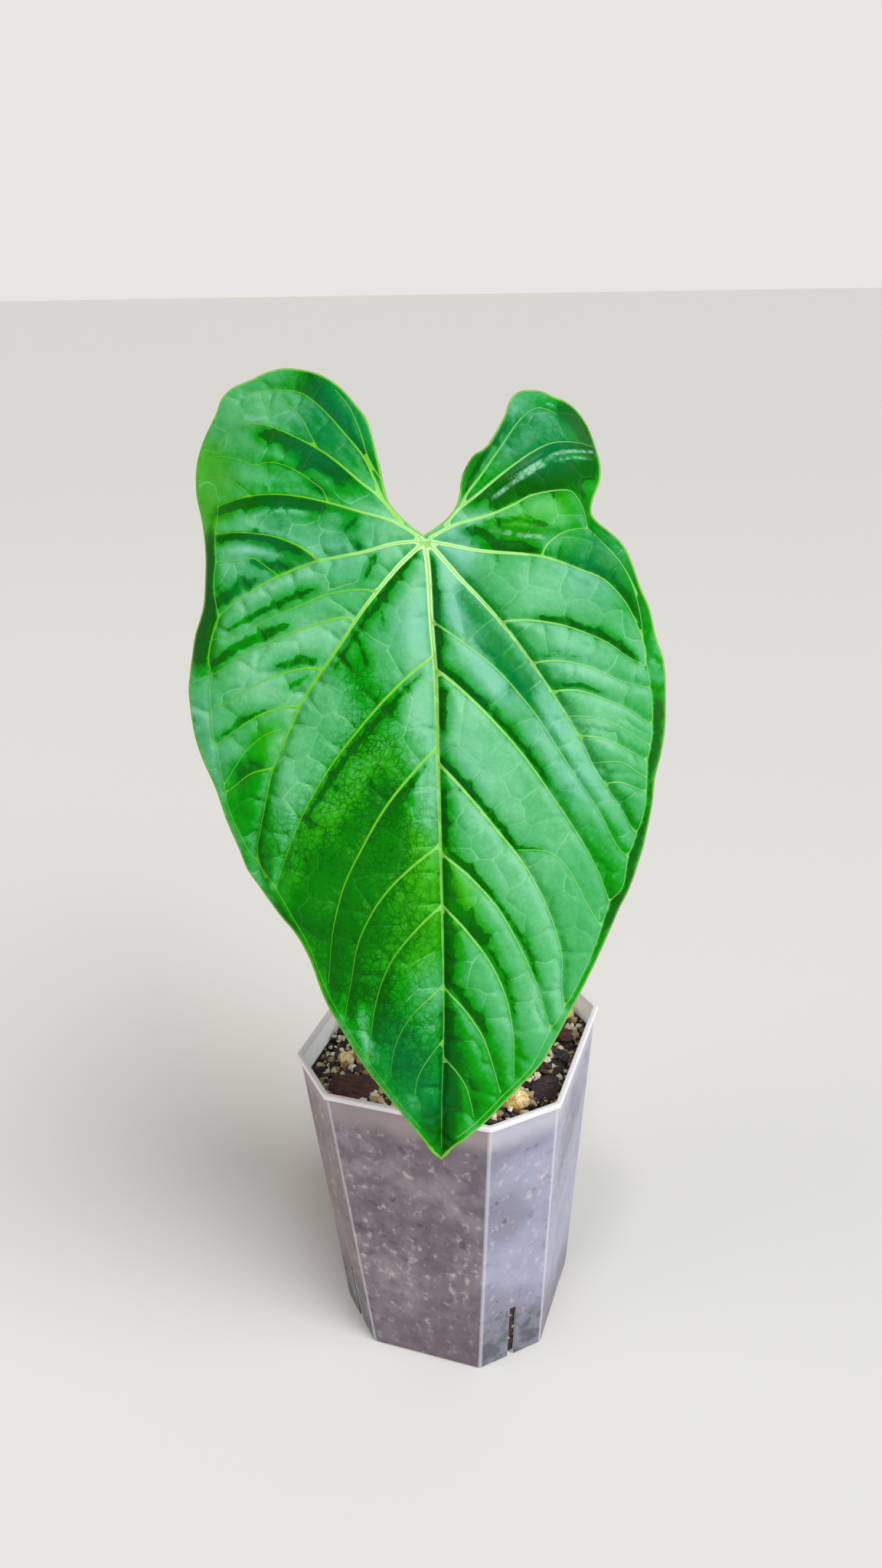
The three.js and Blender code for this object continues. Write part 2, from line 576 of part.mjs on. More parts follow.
function placeLoosePiece(object, piece) {
  const [x, y] = piece.at;
  object.rotation.set(
    THREE.MathUtils.degToRad(piece.lean[0]),
    THREE.MathUtils.degToRad(piece.lean[1]),
    THREE.MathUtils.degToRad(piece.turn),
    'ZYX',
  );
  object.position.set(x, y, mixHeight(x, y) + piece.rise);
  object.updateMatrix();
}

function loosePieceGeometry(piece, growth) {
  const random = seededRandom(LOOSE_SEED + LOOSE_PIECES.indexOf(piece));
  const size = piece.size.map((half) => half + growth);
  return piece.kind === 'bark' ? lumpGeometry(size, 1, 0.22, random) : lumpGeometry(size, 0, 0.3, random);
}

// The hollow that a loose piece lies in
function pocketSolid(piece) {
  const holder = new THREE.Object3D();
  placeLoosePiece(holder, piece);
  return toSolid(loosePieceGeometry(piece, 1.3 * GAP).applyMatrix4(holder.matrix));
}

// Stem and roots. clearance widens them to the holes that they stand in.

function stemSolid(clearance) {
  const height = STEM_TOP - STEM_FOOT;
  const path = [0, 0.33, 0.6, 0.82, 1].map((t) => [0, STEM_BEHIND + t ** 5, STEM_FOOT + height * t]);
  const radii = [0.52, 0.74, 1, 0.95, 0.77].map((k) => STEM_RADIUS * k + clearance);
  return toSolid(taperedTube(path, radii, 10, 8));
}

// Each root leaves the stem just above the mix and bends down into it
function rootSolid(i, clearance) {
  const angle = 2 * Math.PI * i / ROOT_COUNT + 0.4;
  const reach = ROOT_REACH + 4 * Math.sin(i * 2.1);
  const place = (part, rise) => [
    reach * part * Math.cos(angle),
    STEM_BEHIND + reach * part * Math.sin(angle),
    ROOT_FOOT + rise,
  ];
  const path = [place(0.13, 17), place(0.45, 18.5), place(0.8, 15), place(1, 7), place(1.05, 0)];
  const radii = [1, 1, 0.95, 0.8, 0.5].map((k) => ROOT_RADIUS * k + clearance);
  return toSolid(taperedTube(path, radii, 6, 7));
}

function plantFoot(clearance) {
  const roots = [];
  for (let i = 0; i < ROOT_COUNT; i++) roots.push(rootSolid(i, clearance));
  return wasm.Manifold.union([stemSolid(clearance), ...roots]);
}

function substrateGeometry() {
  const filled = wasm.Manifold.union([mixBody(), ...granuleSolids()]);
  const hollows = wasm.Manifold.union([plantFoot(1.4 * GAP), ...LOOSE_PIECES.map(pocketSolid)]);
  return toGeometry(largestBody(filled.subtract(hollows)));
}

// Dry bract that wraps the back of the stem's top
function cataphyllGeometry() {
  const rows = 8;
  const columns = 8;
  const inner = STEM_RADIUS + 1.2 * GAP;
  const middleAngle = 1.87;
  const points = [];
  const triangles = [];
  for (let i = 0; i <= rows; i++) {
    const t = i / rows;
    const halfSpan = 1.35 * Math.sqrt(Math.max(1 - t, 0.03)) * (0.8 + 0.4 * t);
    for (let j = 0; j <= columns; j++) {
      points.push([t, halfSpan * (2 * j / columns - 1) + middleAngle]);
    }
  }
  for (let i = 0; i < rows; i++) {
    for (let j = 0; j < columns; j++) {
      const a = i * (columns + 1) + j;
      const b = a + columns + 1;
      triangles.push([a, a + 1, b + 1], [a, b + 1, b]);
    }
  }
  const place = (radius) => points.map(([t, angle]) => {
    const r = radius + CATAPHYLL_FLARE * t * t;
    const y = STEM_BEHIND + 0.5 + r * Math.sin(angle);
    return [r * Math.cos(angle), y, CATAPHYLL_FOOT + CATAPHYLL_LENGTH * t];
  });
  const outer = inner + CATAPHYLL_THICKNESS;
  return solidBetween(place(outer), place(inner), triangles, boundaryEdges(triangles));
}

// Blade

const leftMargin = smoothLine(LEFT_MARGIN, BLADE_STEP);
const rightMargin = smoothLine(RIGHT_MARGIN, BLADE_STEP);
const bladeOutline = leftMargin.concat(rightMargin.slice(1, -1).reverse());
const edgeVeins = [
  { line: smoothLine(LEFT_EDGE_VEIN, BLADE_STEP), fold: LEFT_FOLD },
  { line: smoothLine(RIGHT_EDGE_VEIN, BLADE_STEP), fold: RIGHT_FOLD },
];
const veins = VEINS.map(({ rib, line }) => ({ rib, line: smoothLine(line, BLADE_STEP) }));

function nearestDistance(lines, point) {
  let best = Infinity;
  for (const line of lines) {
    for (const p of line) best = Math.min(best, distance2(p, point));
  }
  return best;
}

// Large form of the blade: how far it stands out in front of its joint's plane
function bladeForm(across, down) {
  const below = 9 * (1 - ((down - 95) / 125) ** 2);
  const above = 3.8 + 0.09 * down - 0.0012 * down * down;
  let height = down > 0 ? below : above;
  height -= 11 * (Math.abs(across) / 78) ** 2.2;
  height -= 13 * smoothStep(22, 62, across) * smoothStep(0, 34, -down);
  height -= 5 * smoothStep(30, 75, -across) * smoothStep(5, 55, -down);
  for (const { at, reach, lift } of BENDS) {
    height += lift * Math.exp(-(distance2(at, [across, down]) ** 2) / (reach * reach));
  }
  return height;
}

// The strip outside the edge vein folds back
function edgeFold(point) {
  let drop = 0;
  for (const { line, fold } of edgeVeins) {
    const nearest = line.reduce((a, b) => (distance2(b, point) < distance2(a, point) ? b : a));
    const toVein = distance2(nearest, point);
    if (toVein > FOLD_REACH) continue;
    const toMargin = nearestDistance([bladeOutline], point);
    const stripWidth = nearestDistance([bladeOutline], nearest);
    if (toMargin < stripWidth) drop += toVein * lookUp(fold, point[1]);
  }
  return drop;
}

function bladeSolidGeometry() {
  const random = seededRandom(BLADE_SEED);
  const points = bladeOutline.slice();
  const ribs = points.map(() => 0);
  const addVeinPoint = (p, rib) => {
    const crowded = points.some((q) => distance2(p, q) < VEIN_SPACING);
    if (crowded || !isInside(bladeOutline, ...p)) return;
    points.push(p);
    ribs.push(rib);
  };
  for (const { rib, line } of veins) {
    line.forEach((p, i) => addVeinPoint(p, rib * (1 - 0.75 * i / line.length)));
  }
  for (const { line } of edgeVeins) line.forEach((p) => addVeinPoint(p, EDGE_RIB));
  addGridPoints(points, bladeOutline, BLADE_GRID, BLADE_GRID * 0.55, random);
  const { triangles, edges } = fillOutline(points, bladeOutline);
  const veinLines = veins.map(({ line }) => line);
  const bossFloor = bladeForm(...BOSS_CENTRE) - BOSS_DEPTH;
  const front = [];
  const back = [];
  points.forEach(([across, down], i) => {
    const toVein = nearestDistance(veinLines, [across, down]);
    const size = smoothStep(0, 40, Math.hypot(across, down));
    const puff = (0.8 + 1.4 * size) * (1 - Math.exp(-((toVein / PUFF_WIDTH) ** 2)));
    const height = bladeForm(across, down) + puff - edgeFold([across, down]);
    const slope = Math.hypot(
      bladeForm(across + 1, down) - bladeForm(across - 1, down),
      bladeForm(across, down + 1) - bladeForm(across, down - 1),
    ) / 2;
    const thickness = BLADE_THICKNESS * Math.hypot(1, slope) + (ribs[i] || 0);
    const onBoss = distance2([across, down], BOSS_CENTRE) < BOSS_RADIUS;
    front.push([across, -down, height]);
    back.push([across, -down, onBoss ? bossFloor : height - thickness]);
  });
  return solidBetween(back, front, triangles, edges);
}

// Directions of the blade in the pot's frame: across, up along the blade, and out
const facing = THREE.MathUtils.degToRad(FACING_ANGLE);
const tilt = THREE.MathUtils.degToRad(BLADE_TILT);
const bladeAcross = new THREE.Vector3(Math.cos(facing), Math.sin(facing), 0);
const bladeFront = new THREE.Vector3(Math.sin(facing), -Math.cos(facing), 0);
const bladeOut = bladeFront.clone().multiplyScalar(Math.cos(tilt)).setZ(Math.sin(tilt));
const bladeUp = bladeFront.clone().multiplyScalar(-Math.sin(tilt)).setZ(Math.cos(tilt));

function bladePoint(across, down, out) {
  return new THREE.Vector3(...JOINT)
    .addScaledVector(bladeAcross, across)
    .addScaledVector(bladeUp, -down)
    .addScaledVector(bladeOut, out);
}

// The stalk ends square behind the boss on the blade's back
function stalkGeometry() {
  const bossFloor = bladeForm(...BOSS_CENTRE) - BOSS_DEPTH;
  const end = bladePoint(...BOSS_CENTRE, bossFloor - GAP);
  const behind = bladePoint(...BOSS_CENTRE, bossFloor - 9);
  const path = [
    [0, 3, STEM_TOP + GAP], [0, 3.5, 165], [0.5, 5, 200], [1, 6, 250], [0.5, 5, 300],
    [-0.5, 3, 325], [behind.x - 0.8, behind.y + 3, behind.z - 6.5],
    behind.toArray(), end.toArray(),
  ];
  const radii = [
    STALK_BASE_RADIUS, STALK_BASE_RADIUS * 0.85, STALK_RADIUS * 1.1, STALK_RADIUS,
    STALK_RADIUS, STALK_RADIUS * 1.05, STALK_KNEE_RADIUS, STALK_KNEE_RADIUS, STALK_RADIUS,
  ];
  return taperedTube(path, radii, STALK_SIDES, 26);
}

// Assembly

const LOOKS = {
  pot: { color: 0xb9b3c6, roughness: 0.45 },
  substrate: { color: 0x3a322b, roughness: 0.95 },
  bark: { color: 0x5a3327, roughness: 0.85 },
  pumice: { color: 0xd9c79a, roughness: 0.9 },
  charcoal: { color: 0x1c1c20, roughness: 0.8 },
  stem: { color: 0x6f8f45, roughness: 0.6 },
  cataphyll: { color: 0x9a7b4e, roughness: 0.8 },
  stalk: { color: 0x4f9a3c, roughness: 0.5 },
  blade: { color: 0x2f9a3a, roughness: 0.38 },
};

const plant = new THREE.Group();

function addPiece(name, geometry, look) {
  const material = new THREE.MeshStandardMaterial({ ...LOOKS[look], metalness: 0 });
  const piece = new THREE.Mesh(geometry, material);
  piece.name = name;
  plant.add(piece);
  return piece;
}

addPiece('pot', potGeometry(), 'pot');
addPiece('substrate', substrateGeometry(), 'substrate');
for (const loose of LOOSE_PIECES) {
  placeLoosePiece(addPiece(loose.name, loosePieceGeometry(loose, 0), loose.kind), loose);
}
addPiece('stem_base', toGeometry(largestBody(plantFoot(0))), 'stem');
addPiece('cataphyll', cataphyllGeometry(), 'cataphyll');
addPiece('petiole', stalkGeometry(), 'stalk');
const blade = addPiece('leaf_blade', bladeSolidGeometry(), 'blade');
const bladeAxes = new THREE.Matrix4().makeBasis(bladeAcross, bladeUp, bladeOut);
blade.quaternion.setFromRotationMatrix(bladeAxes);
blade.position.set(...JOINT);

export default plant;
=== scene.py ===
"""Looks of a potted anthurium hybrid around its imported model.

One large heart-shaped leaf on an upright stalk, in a tall frosted plastic pot of bark and
pumice mix. Metres, +Z up, with the origin under the middle of the pot. The sizes below are in
millimetres, and MM turns them into metres.
"""

import math

import bmesh
import bpy
import numpy as np
from mathutils import Matrix, Vector, kdtree, noise
from mathutils.geometry import delaunay_2d_cdt


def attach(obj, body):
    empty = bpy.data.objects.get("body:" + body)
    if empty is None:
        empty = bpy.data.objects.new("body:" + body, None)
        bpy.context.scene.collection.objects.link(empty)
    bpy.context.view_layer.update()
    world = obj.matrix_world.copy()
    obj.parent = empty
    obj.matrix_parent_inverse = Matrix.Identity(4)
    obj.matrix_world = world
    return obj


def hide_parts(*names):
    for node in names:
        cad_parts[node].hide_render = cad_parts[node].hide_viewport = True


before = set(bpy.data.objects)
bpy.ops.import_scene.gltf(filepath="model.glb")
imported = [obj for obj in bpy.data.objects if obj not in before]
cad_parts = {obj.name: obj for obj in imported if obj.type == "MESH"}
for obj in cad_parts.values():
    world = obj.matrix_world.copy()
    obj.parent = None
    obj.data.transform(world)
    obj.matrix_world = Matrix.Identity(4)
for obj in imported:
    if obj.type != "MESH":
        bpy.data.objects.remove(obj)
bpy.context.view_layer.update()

MM = 0.001

# Pot
POT_HEIGHT = 139
POT_TOP_WIDTH = 110
POT_BASE_WIDTH = 89.4
POT_CORNER_CUT = 20.8
POT_WALL = 1.1
POT_FLOOR = 1.8
POT_EDGE_RADIUS = 1.6
LIP_OVERHANG = 1.0
LIP_HEIGHT = 2.4
SLIT_WIDTH = 3.2
SLIT_HEIGHT = 31
DRAIN_HOLE_RADIUS = 3
DRAIN_RING_RADIUS = 26
DRAIN_HOLE_COUNT = 8
CORNER_POINTS = 6
POT_SLOPE = (POT_TOP_WIDTH - 2 * LIP_OVERHANG - POT_BASE_WIDTH) / POT_HEIGHT / 2

# Growing mix
GAP = 0.3
MIX_TOP = 128.5
MIX_MOUND = 3.5
MOUND_REACH = 22.4
MIX_SIDE_RINGS = 25
MIX_TOP_RINGS = 40
MIX_SEED = 5
LUMP_KINDS = 10
LUMP_FACETS = 9

# Granules: name, slot, spacing, smallest and largest, proportions, how far they rise by their
# size, colours of the darkest, the middle and the lightest, and roughness
GRANULES = [
    ("pale_granules", "pumice", 2.5, (1.2, 4.4), (1.15, 1, 0.85), (0.0, 0.3),
     [(148, 118, 80), (216, 196, 162), (246, 240, 228)], 0.85),
    ("dark_granules", "charcoal", 3.3, (1.8, 5.6), (1.2, 0.9, 0.8), (-0.1, 0.2),
     [(14, 13, 16), (34, 32, 36), (70, 58, 54)], 0.55),
    ("bark_fines", "bark", 4.6, (3.0, 8.0), (1.3, 0.6, 0.3), (-0.05, 0.12),
     [(34, 20, 18), (74, 44, 34), (120, 80, 56)], 0.8),
]

# Large loose pieces: node, slot, how many, first seed, cuts of each edge, depth and grain of the
# broken surface, and whether it is smooth
LOOSE_PIECES = [
    ("bark_chip", "bark", 7, 11, 4, 0.45, 2.2, False),
    ("pumice_chunk", "pumice", 8, 31, 7, 0.5, 2.0, True),
    ("charcoal_lump", "charcoal", 6, 51, 4, 0.35, 1.8, False),
]

# Stem, roots, bract and stalk
STEM_BEHIND = 2
STEM_RADIUS = 6.2
STEM_TOP = 147
STEM_FOOT = 104
ROOT_RADIUS = 1.7
ROOT_COUNT = 5
ROOT_REACH = 15
ROOT_FOOT = 117
CATAPHYLL_FOOT = 138.5
CATAPHYLL_LENGTH = 36
CATAPHYLL_FLARE = 2.5
CATAPHYLL_THICKNESS = 0.6
CATAPHYLL_MIDDLE_ANGLE = 1.87
CATAPHYLL_HALF_SPAN = 1.35
STALK_BASE_RADIUS = 4.0
STALK_RADIUS = 2.6
STALK_KNEE_RADIUS = 3.1
STALK_KNEE_DEPTH = 9

# Blade: its joint with the stalk, the way it faces, how far it leans, and the steps of its mesh
JOINT = Vector((2.4, -18.2, 349.3))
FACING_ANGLE = math.radians(19.46)
BLADE_TILT = math.radians(20)
BLADE_THICKNESS = 0.75
BLADE_ARCH = 9
BLADE_ARCH_MIDDLE = 95
BLADE_ARCH_REACH = 125
BLADE_SIDE_DROP = 11
BLADE_HALF_WIDTH = 78
LEFT_LOBE_DROP = 5
RIGHT_LOBE_DROP = 13
BLADE_GRID = 1.05
MARGIN_STEP = 1.2
EDGE_STEP = 1.5
VEIN_STEP = 1.1
NET_CELL = 9.5
BLADE_SEED = 11
LIGHT_LEAN = (0.8, 0.6)
WIDEST_CREASE = 4
BOSS_CENTRE = (0.3, 3.6)
BOSS_DEPTH = 4.0
BOSS_HEIGHT = 3.6
BOSS_RADIUS = 3.2

# Camera, and the strength of the even light around
CAMERA_SPOT = Vector((0.1399, -0.3986, 0.4418))
CAMERA_YAW = math.radians(-19.46)
CAMERA_PITCH = math.radians(24.32)
CAMERA_ROLL = math.radians(-1.85)
CAMERA_LENS = 28.125
WORLD_AT_HORIZON = 0.8
WORLD_ABOVE = 0.3

# Blade outline, in mm across and down from the joint, first up the notch between the lobes,
# then round the lobe and down to the tip
LEFT_MARGIN = [
    (0, 0), (-3.5, -2.5), (-9.5, -8.5), (-12.3, -14), (-14.2, -24.5), (-17, -37),
    (-20.5, -43), (-27, -51), (-35, -56.5), (-45, -59.5), (-52, -58.8), (-57.5, -56.8),
    (-64, -54.8), (-68.2, -51.5), (-70.5, -46.5), (-75, -38), (-77.7, -29), (-77.8, -19.5),
    (-76, -11), (-74.5, -3), (-74.1, 7), (-75, 18), (-77.5, 25), (-79.5, 31), (-81, 41),
    (-81.3, 50), (-80, 62), (-77.5, 71), (-73, 81.5), (-69.6, 93), (-66.5, 102),
    (-64, 109.5), (-60, 115), (-52, 124.5), (-47.5, 130.5), (-43.2, 140.5), (-39, 153),
    (-32, 166.5), (-26, 177.5), (-15, 193), (-7, 204), (-4, 208.7), (-1, 211.5),
]
RIGHT_MARGIN = [
    (0, 0), (4.6, -2.7), (8, -5.4), (10.5, -8.5), (12, -12.5), (12.6, -17), (14, -21.5),
    (17, -25.8), (20, -27.2), (22.5, -29.5), (25.6, -34.6), (28, -39), (29.5, -43.5),
    (32, -47.3), (36, -49), (41, -49), (45.5, -47.3), (50, -46.4), (55, -43.7),
    (58.9, -38.8), (60.9, -31), (61.2, -24), (60.2, -18), (57.6, -12), (56.9, -7.8),
    (58.4, -4.8), (63, 0.5), (67.2, 6.5), (71.7, 19), (74.8, 26), (77, 35.7), (79.6, 43.5),
    (80.8, 55), (80.6, 64.5), (78.2, 75), (75.5, 83), (74.3, 91), (72.6, 99.4),
    (70.5, 108), (66, 119), (58.2, 134.6), (51, 148.5), (43.8, 161.7), (37.3, 173.2),
    (33, 179.5), (24.4, 188), (15.2, 197.5), (8, 203.5), (3, 207.3), (-1, 211.5),
]

# Veins in the same coordinates, each after the height of its rib under the blade
VEINS = [
    (2.4, [(0, 2), (1, 12), (1.4, 28), (2.3, 48), (2.1, 75), (2, 110), (1.6, 145), (0.9, 170),
           (-0.3, 190), (-1, 208)]),
    (1.0, [(-7, -4.5), (-11.5, -9), (-14.5, -15.5), (-18.8, -25.7), (-25, -34),
           (-34.2, -45.2), (-41.5, -50.8), (-51.4, -52.6), (-60.4, -52.2)]),
    (1.2, [(-8, -5.8), (-15, -13.5), (-20, -17.6), (-30.2, -26.6), (-40, -33), (-51.6, -39),
           (-60.5, -40.4), (-65.2, -39), (-69.6, -35)]),
    (1.4, [(-1.5, 0.8), (-10, -4.7), (-20.3, -8), (-30.6, -11.3), (-40.6, -13.9),
           (-50, -15.1), (-59, -14.7), (-68.7, -12.9)]),
    (1.6, [(-1, 2), (-10, 2.5), (-20, 4.8), (-35, 7.2), (-44.6, 10), (-53.8, 13.8),
           (-65.6, 20.6), (-70.2, 24.7), (-72.6, 31), (-74, 38), (-73.2, 43.5)]),
    (0.8, [(-35, 7.2), (-41, 2.5), (-49.8, -1.3), (-60.3, -3.1), (-68.9, -3.4)]),
    (2.0, [(-1, 3), (-9.8, 11), (-20.7, 23.5), (-29, 35), (-40.5, 50.6), (-46.7, 62),
           (-53.2, 76), (-57, 90), (-60.2, 103.4), (-58, 112.5)]),
    (0.6, [(-16, 18), (-22, 17.3), (-32, 18.3), (-42.5, 22), (-55.5, 27), (-64, 30.8),
           (-72, 31.8)]),
    (0.8, [(-24.3, 26.7), (-28.5, 26.3), (-39.8, 28.9), (-50.5, 32.6), (-60.3, 36.6),
           (-68.7, 41.5), (-73.2, 43.5)]),
    (0.7, [(-34.6, 43), (-40.3, 42.4), (-49.2, 44.1), (-57.2, 47.1), (-65.5, 51.5),
           (-73, 55.7)]),
    (0.7, [(-43.8, 55), (-48.6, 55), (-57, 57.6), (-64.7, 62), (-72, 67)]),
    (0.6, [(-53, 75.2), (-60.2, 76.7), (-66.8, 81.3), (-69.3, 83)]),
    (1.1, [(1.8, 40), (-5, 44.7), (-15, 53.8), (-24.4, 64), (-32.7, 74), (-40, 85),
           (-45.5, 95), (-50.7, 106.8), (-53.6, 114.7)]),
    (1.1, [(2, 70), (-3.8, 75.3), (-15.2, 88.4), (-24, 102.5), (-30.9, 116.1),
           (-35.3, 132.5), (-37.3, 148.6)]),
    (0.9, [(2, 102), (-6, 107.8), (-14.6, 115.4), (-21.1, 123.7), (-26.6, 134.8),
           (-29.4, 147.4), (-31.9, 159)]),
    (0.8, [(1.8, 122.5), (-5.2, 128.5), (-13.7, 138), (-18.7, 147), (-22, 158), (-24.6, 174)]),
    (0.5, [(1.4, 150), (-7, 157), (-12.5, 164), (-16, 172), (-17.5, 181)]),
    (1.4, [(7, -3), (11.5, -8), (17, -11.8), (25.2, -18.3), (35.5, -25.6), (43.8, -29.9),
           (54, -31.9), (58.9, -31.6)]),
    (0.8, [(11.8, -8.3), (14.7, -13.3), (20.1, -20), (26.2, -28.3), (33.2, -37.9),
           (39.5, -42.7), (46.4, -41.3)]),
    (1.4, [(1.8, 1), (10.3, -3), (20.7, -5.7), (29.5, -9.1), (36, -12.3), (46.6, -14.3),
           (50.8, -13.4), (54.3, -7.8), (55, -2)]),
    (1.6, [(1, 2), (7.7, 3.4), (19.1, 5.8), (38.5, 8), (50.9, 12.5), (59.3, 16.4),
           (66.3, 23.6), (70.4, 31.6), (73.3, 40.6), (72.4, 45)]),
    (0.7, [(38.5, 8), (40.7, 4), (46.8, 0), (55.1, -1.8)]),
    (2.0, [(0.8, 3), (3.7, 5.3), (11.4, 14.6), (20.2, 24.3), (28.7, 35), (36.5, 46.5),
           (42.9, 56.6), (49.4, 67.8), (54.7, 79.3), (63, 92.4), (67.3, 100.5)]),
    (0.8, [(24, 29.3), (33.3, 29), (46, 31.3), (59.4, 36.8), (66.5, 41.9), (72.4, 45)]),
    (0.6, [(34, 43), (43.3, 42.6), (53.9, 45.1), (63.4, 49.6), (73.8, 52.5)]),
    (0.7, [(40.3, 52.6), (49.6, 52.7), (60.3, 56.6), (66.6, 59.5), (74.7, 65)]),
    (0.6, [(49.2, 67.5), (57.8, 68.9), (66.8, 73.5), (72.3, 77)]),
    (0.5, [(57.8, 84), (63.2, 83.8), (71.8, 87.5)]),
    (0.6, [(1.6, 28), (5, 30.8), (13.1, 36.9), (23.2, 45.7), (33.3, 58), (40.2, 68.8),
           (47.3, 80.6), (55, 92.7), (61.3, 105), (65.3, 109)]),
    (1.2, [(2.2, 44), (10, 50.6), (20.5, 61.4), (30.8, 74), (40.2, 88.1), (48.4, 101.3),
           (54.6, 113.3), (58.4, 124.2)]),
    (1.2, [(2.2, 75), (10, 83.8), (20.6, 97.4), (29.9, 110.2), (37, 124.6), (41.4, 139.6),
           (41.4, 151.3), (41.8, 159)]),
    (0.9, [(2.3, 105), (11.3, 113), (20.4, 124), (27.3, 137), (32.8, 150.7), (36.9, 166.2)]),
    (0.9, [(2, 122.5), (9.1, 130.4), (17.2, 142.1), (22.4, 154.8), (24.5, 168.8),
           (24.3, 182)]),
    (0.7, [(1.5, 150.5), (7.8, 157.5), (14, 167.5), (17.4, 178.5), (19.6, 188)]),
    (0.4, [(0.6, 175), (4.8, 179.5), (8.4, 186.2), (10.3, 196)]),
]

# Thin veins that show in the face only
FINE_VEINS = [
    [(-13, -17.6), (-17.5, -26), (-20, -34.5), (-22, -40), (-24, -44), (-28, -49.5)],
    [(-34.3, -30), (-37.2, -35.7), (-40, -41.3), (-44.4, -46), (-46.7, -49)],
    [(-54, -52.5), (-51.5, -45), (-50.3, -41)],
    [(-31, -11.5), (-33, -16), (-36, -18.5), (-39, -21), (-43, -23.5), (-47.5, -25.5),
     (-52, -26), (-55.5, -25.5), (-60, -27.5), (-65, -29.5), (-70, -30.7)],
    [(-57, -15), (-61, -18.5), (-65, -21.5), (-70.5, -23.5), (-75, -23.8)],
    [(-49.5, 11), (-52.5, 8.5), (-57, 5.5), (-63, 6), (-69.5, 5.7)],
    [(-49.5, 62.5), (-54, 63.5), (-58, 66), (-62.5, 70), (-66.5, 75.5), (-69.8, 80.6)],
    [(0.8, 169), (-4, 174.5), (-8, 181), (-9.5, 188)],
    [(55.1, -1.8), (59, 3.5), (65.8, 12.3), (70.5, 21)],
    [(45.8, 60.9), (54.6, 61.7), (62.9, 65), (73.8, 72)],
    [(54, 77), (62.8, 76.8), (69.2, 80.8), (72, 82.5)],
    [(28, 104.7), (38, 105.7), (44.8, 112.6), (50, 123.2), (54.8, 131.6)],
]

# The vein that runs along each side a few mm inside the margin. Outside it the blade folds
# back, by the slope that each table gives for a height down the blade.
LEFT_EDGE_VEIN = [
    (-68.7, -12.9), (-70, -3.4), (-70, 5.5), (-71, 14), (-70.2, 24.7), (-72.6, 31),
    (-74, 38), (-73.2, 43.5), (-73.8, 49.5), (-73.3, 61.8), (-72.1, 69), (-70, 80.6),
    (-69, 87.5), (-64.5, 100), (-60, 107.5), (-50.5, 120), (-44.6, 132), (-39.5, 147),
    (-33.9, 158.7), (-25.5, 174.2), (-16, 188.5), (-8, 199.5),
]
RIGHT_EDGE_VEIN = [
    (55.1, -1.8), (59, 3.5), (65.8, 12.3), (70, 22), (72, 32), (73.4, 45), (74.9, 57),
    (74.7, 67), (72.5, 77.3), (71.7, 88.6), (69.6, 98), (65, 109), (62.9, 118.8),
    (58.4, 124.2), (54.8, 133.3), (49.7, 145.5), (42.8, 158.3), (36.2, 168.4),
    (29.8, 179.8), (21, 188.5), (12, 197.5), (4.5, 203.5),
]
LEFT_FOLD = [(-14, 0.3), (0, 0.9), (36, 1.0), (48, 0.25), (90, 0.3), (120, 0.6), (200, 0.5)]
RIGHT_FOLD = [(-2, 0.3), (30, 0.25), (48, 0.4), (60, 0.9), (85, 1.0), (125, 1.0),
              (150, 0.8), (165, 0.4), (204, 0.3)]

# Both sides: the edge vein, its slopes, a point above its start, and left or right
EDGES = [(LEFT_EDGE_VEIN, LEFT_FOLD, (-68, -30), -1), (RIGHT_EDGE_VEIN, RIGHT_FOLD, (53, -16), 1)]

# Veins of the lobes, by their place in the list above, that stand on a fold and not in a furrow
FOLDED_VEINS = (2, 3, 5, 17)

# Crests between the veins of the right lobe: how high, how wide and where
CRESTS = [
    (1.5, 2.6, [(18, -10.5), (25, -13.5), (33, -18), (41, -22), (50, -25), (59, -27)]),
    (1.6, 2.2, [(15, -2), (21, -3), (28, -2.4), (36, -1.5), (44, -2.6)]),
    (1.3, 2.4, [(14, -16), (19, -23), (25, -32), (30, -40)]),
]

# Painted glints, wet-looking highlights: half their width and their line
GLINTS = [
    (0.45, [(23, -11), (27, -14), (32, -17.5)]), (1.1, [(32.5, -18), (36, -20.5), (39.5, -22.5)]),
    (0.45, [(41, -24), (46, -26.8), (52, -28.4), (59, -29.5)]),
    (0.25, [(44, -23.5), (51, -25.6), (58, -26.3)]), (0.6, [(22, -0.8), (28, 0.3)]),
    (0.45, [(31, 1), (40, 2)]), (0.4, [(42.5, -44.3), (45.5, -43.8)]),
]

# Bends of the blade away from a smooth arch: where, how wide and how far to the front
BENDS = [
    ((-46, -62), 18, -5), ((-76, -42), 17, -6), ((-84, -20), 15, -7), ((-58, -26), 14, 2.5),
    ((-26, -36), 9, 2), ((-66, 106), 14, -4), ((-50, 124), 9, 3), ((-42, 142), 12, -3),
    ((46, -33), 14, 4), ((66, -40), 15, -13), ((33, -56), 12, -6), ((59, -6), 8, -8),
    ((11, -24), 6, -6), ((42, -19), 8, 1.5), ((62, 14), 12, 2.5), ((84, 60), 12, -4),
]
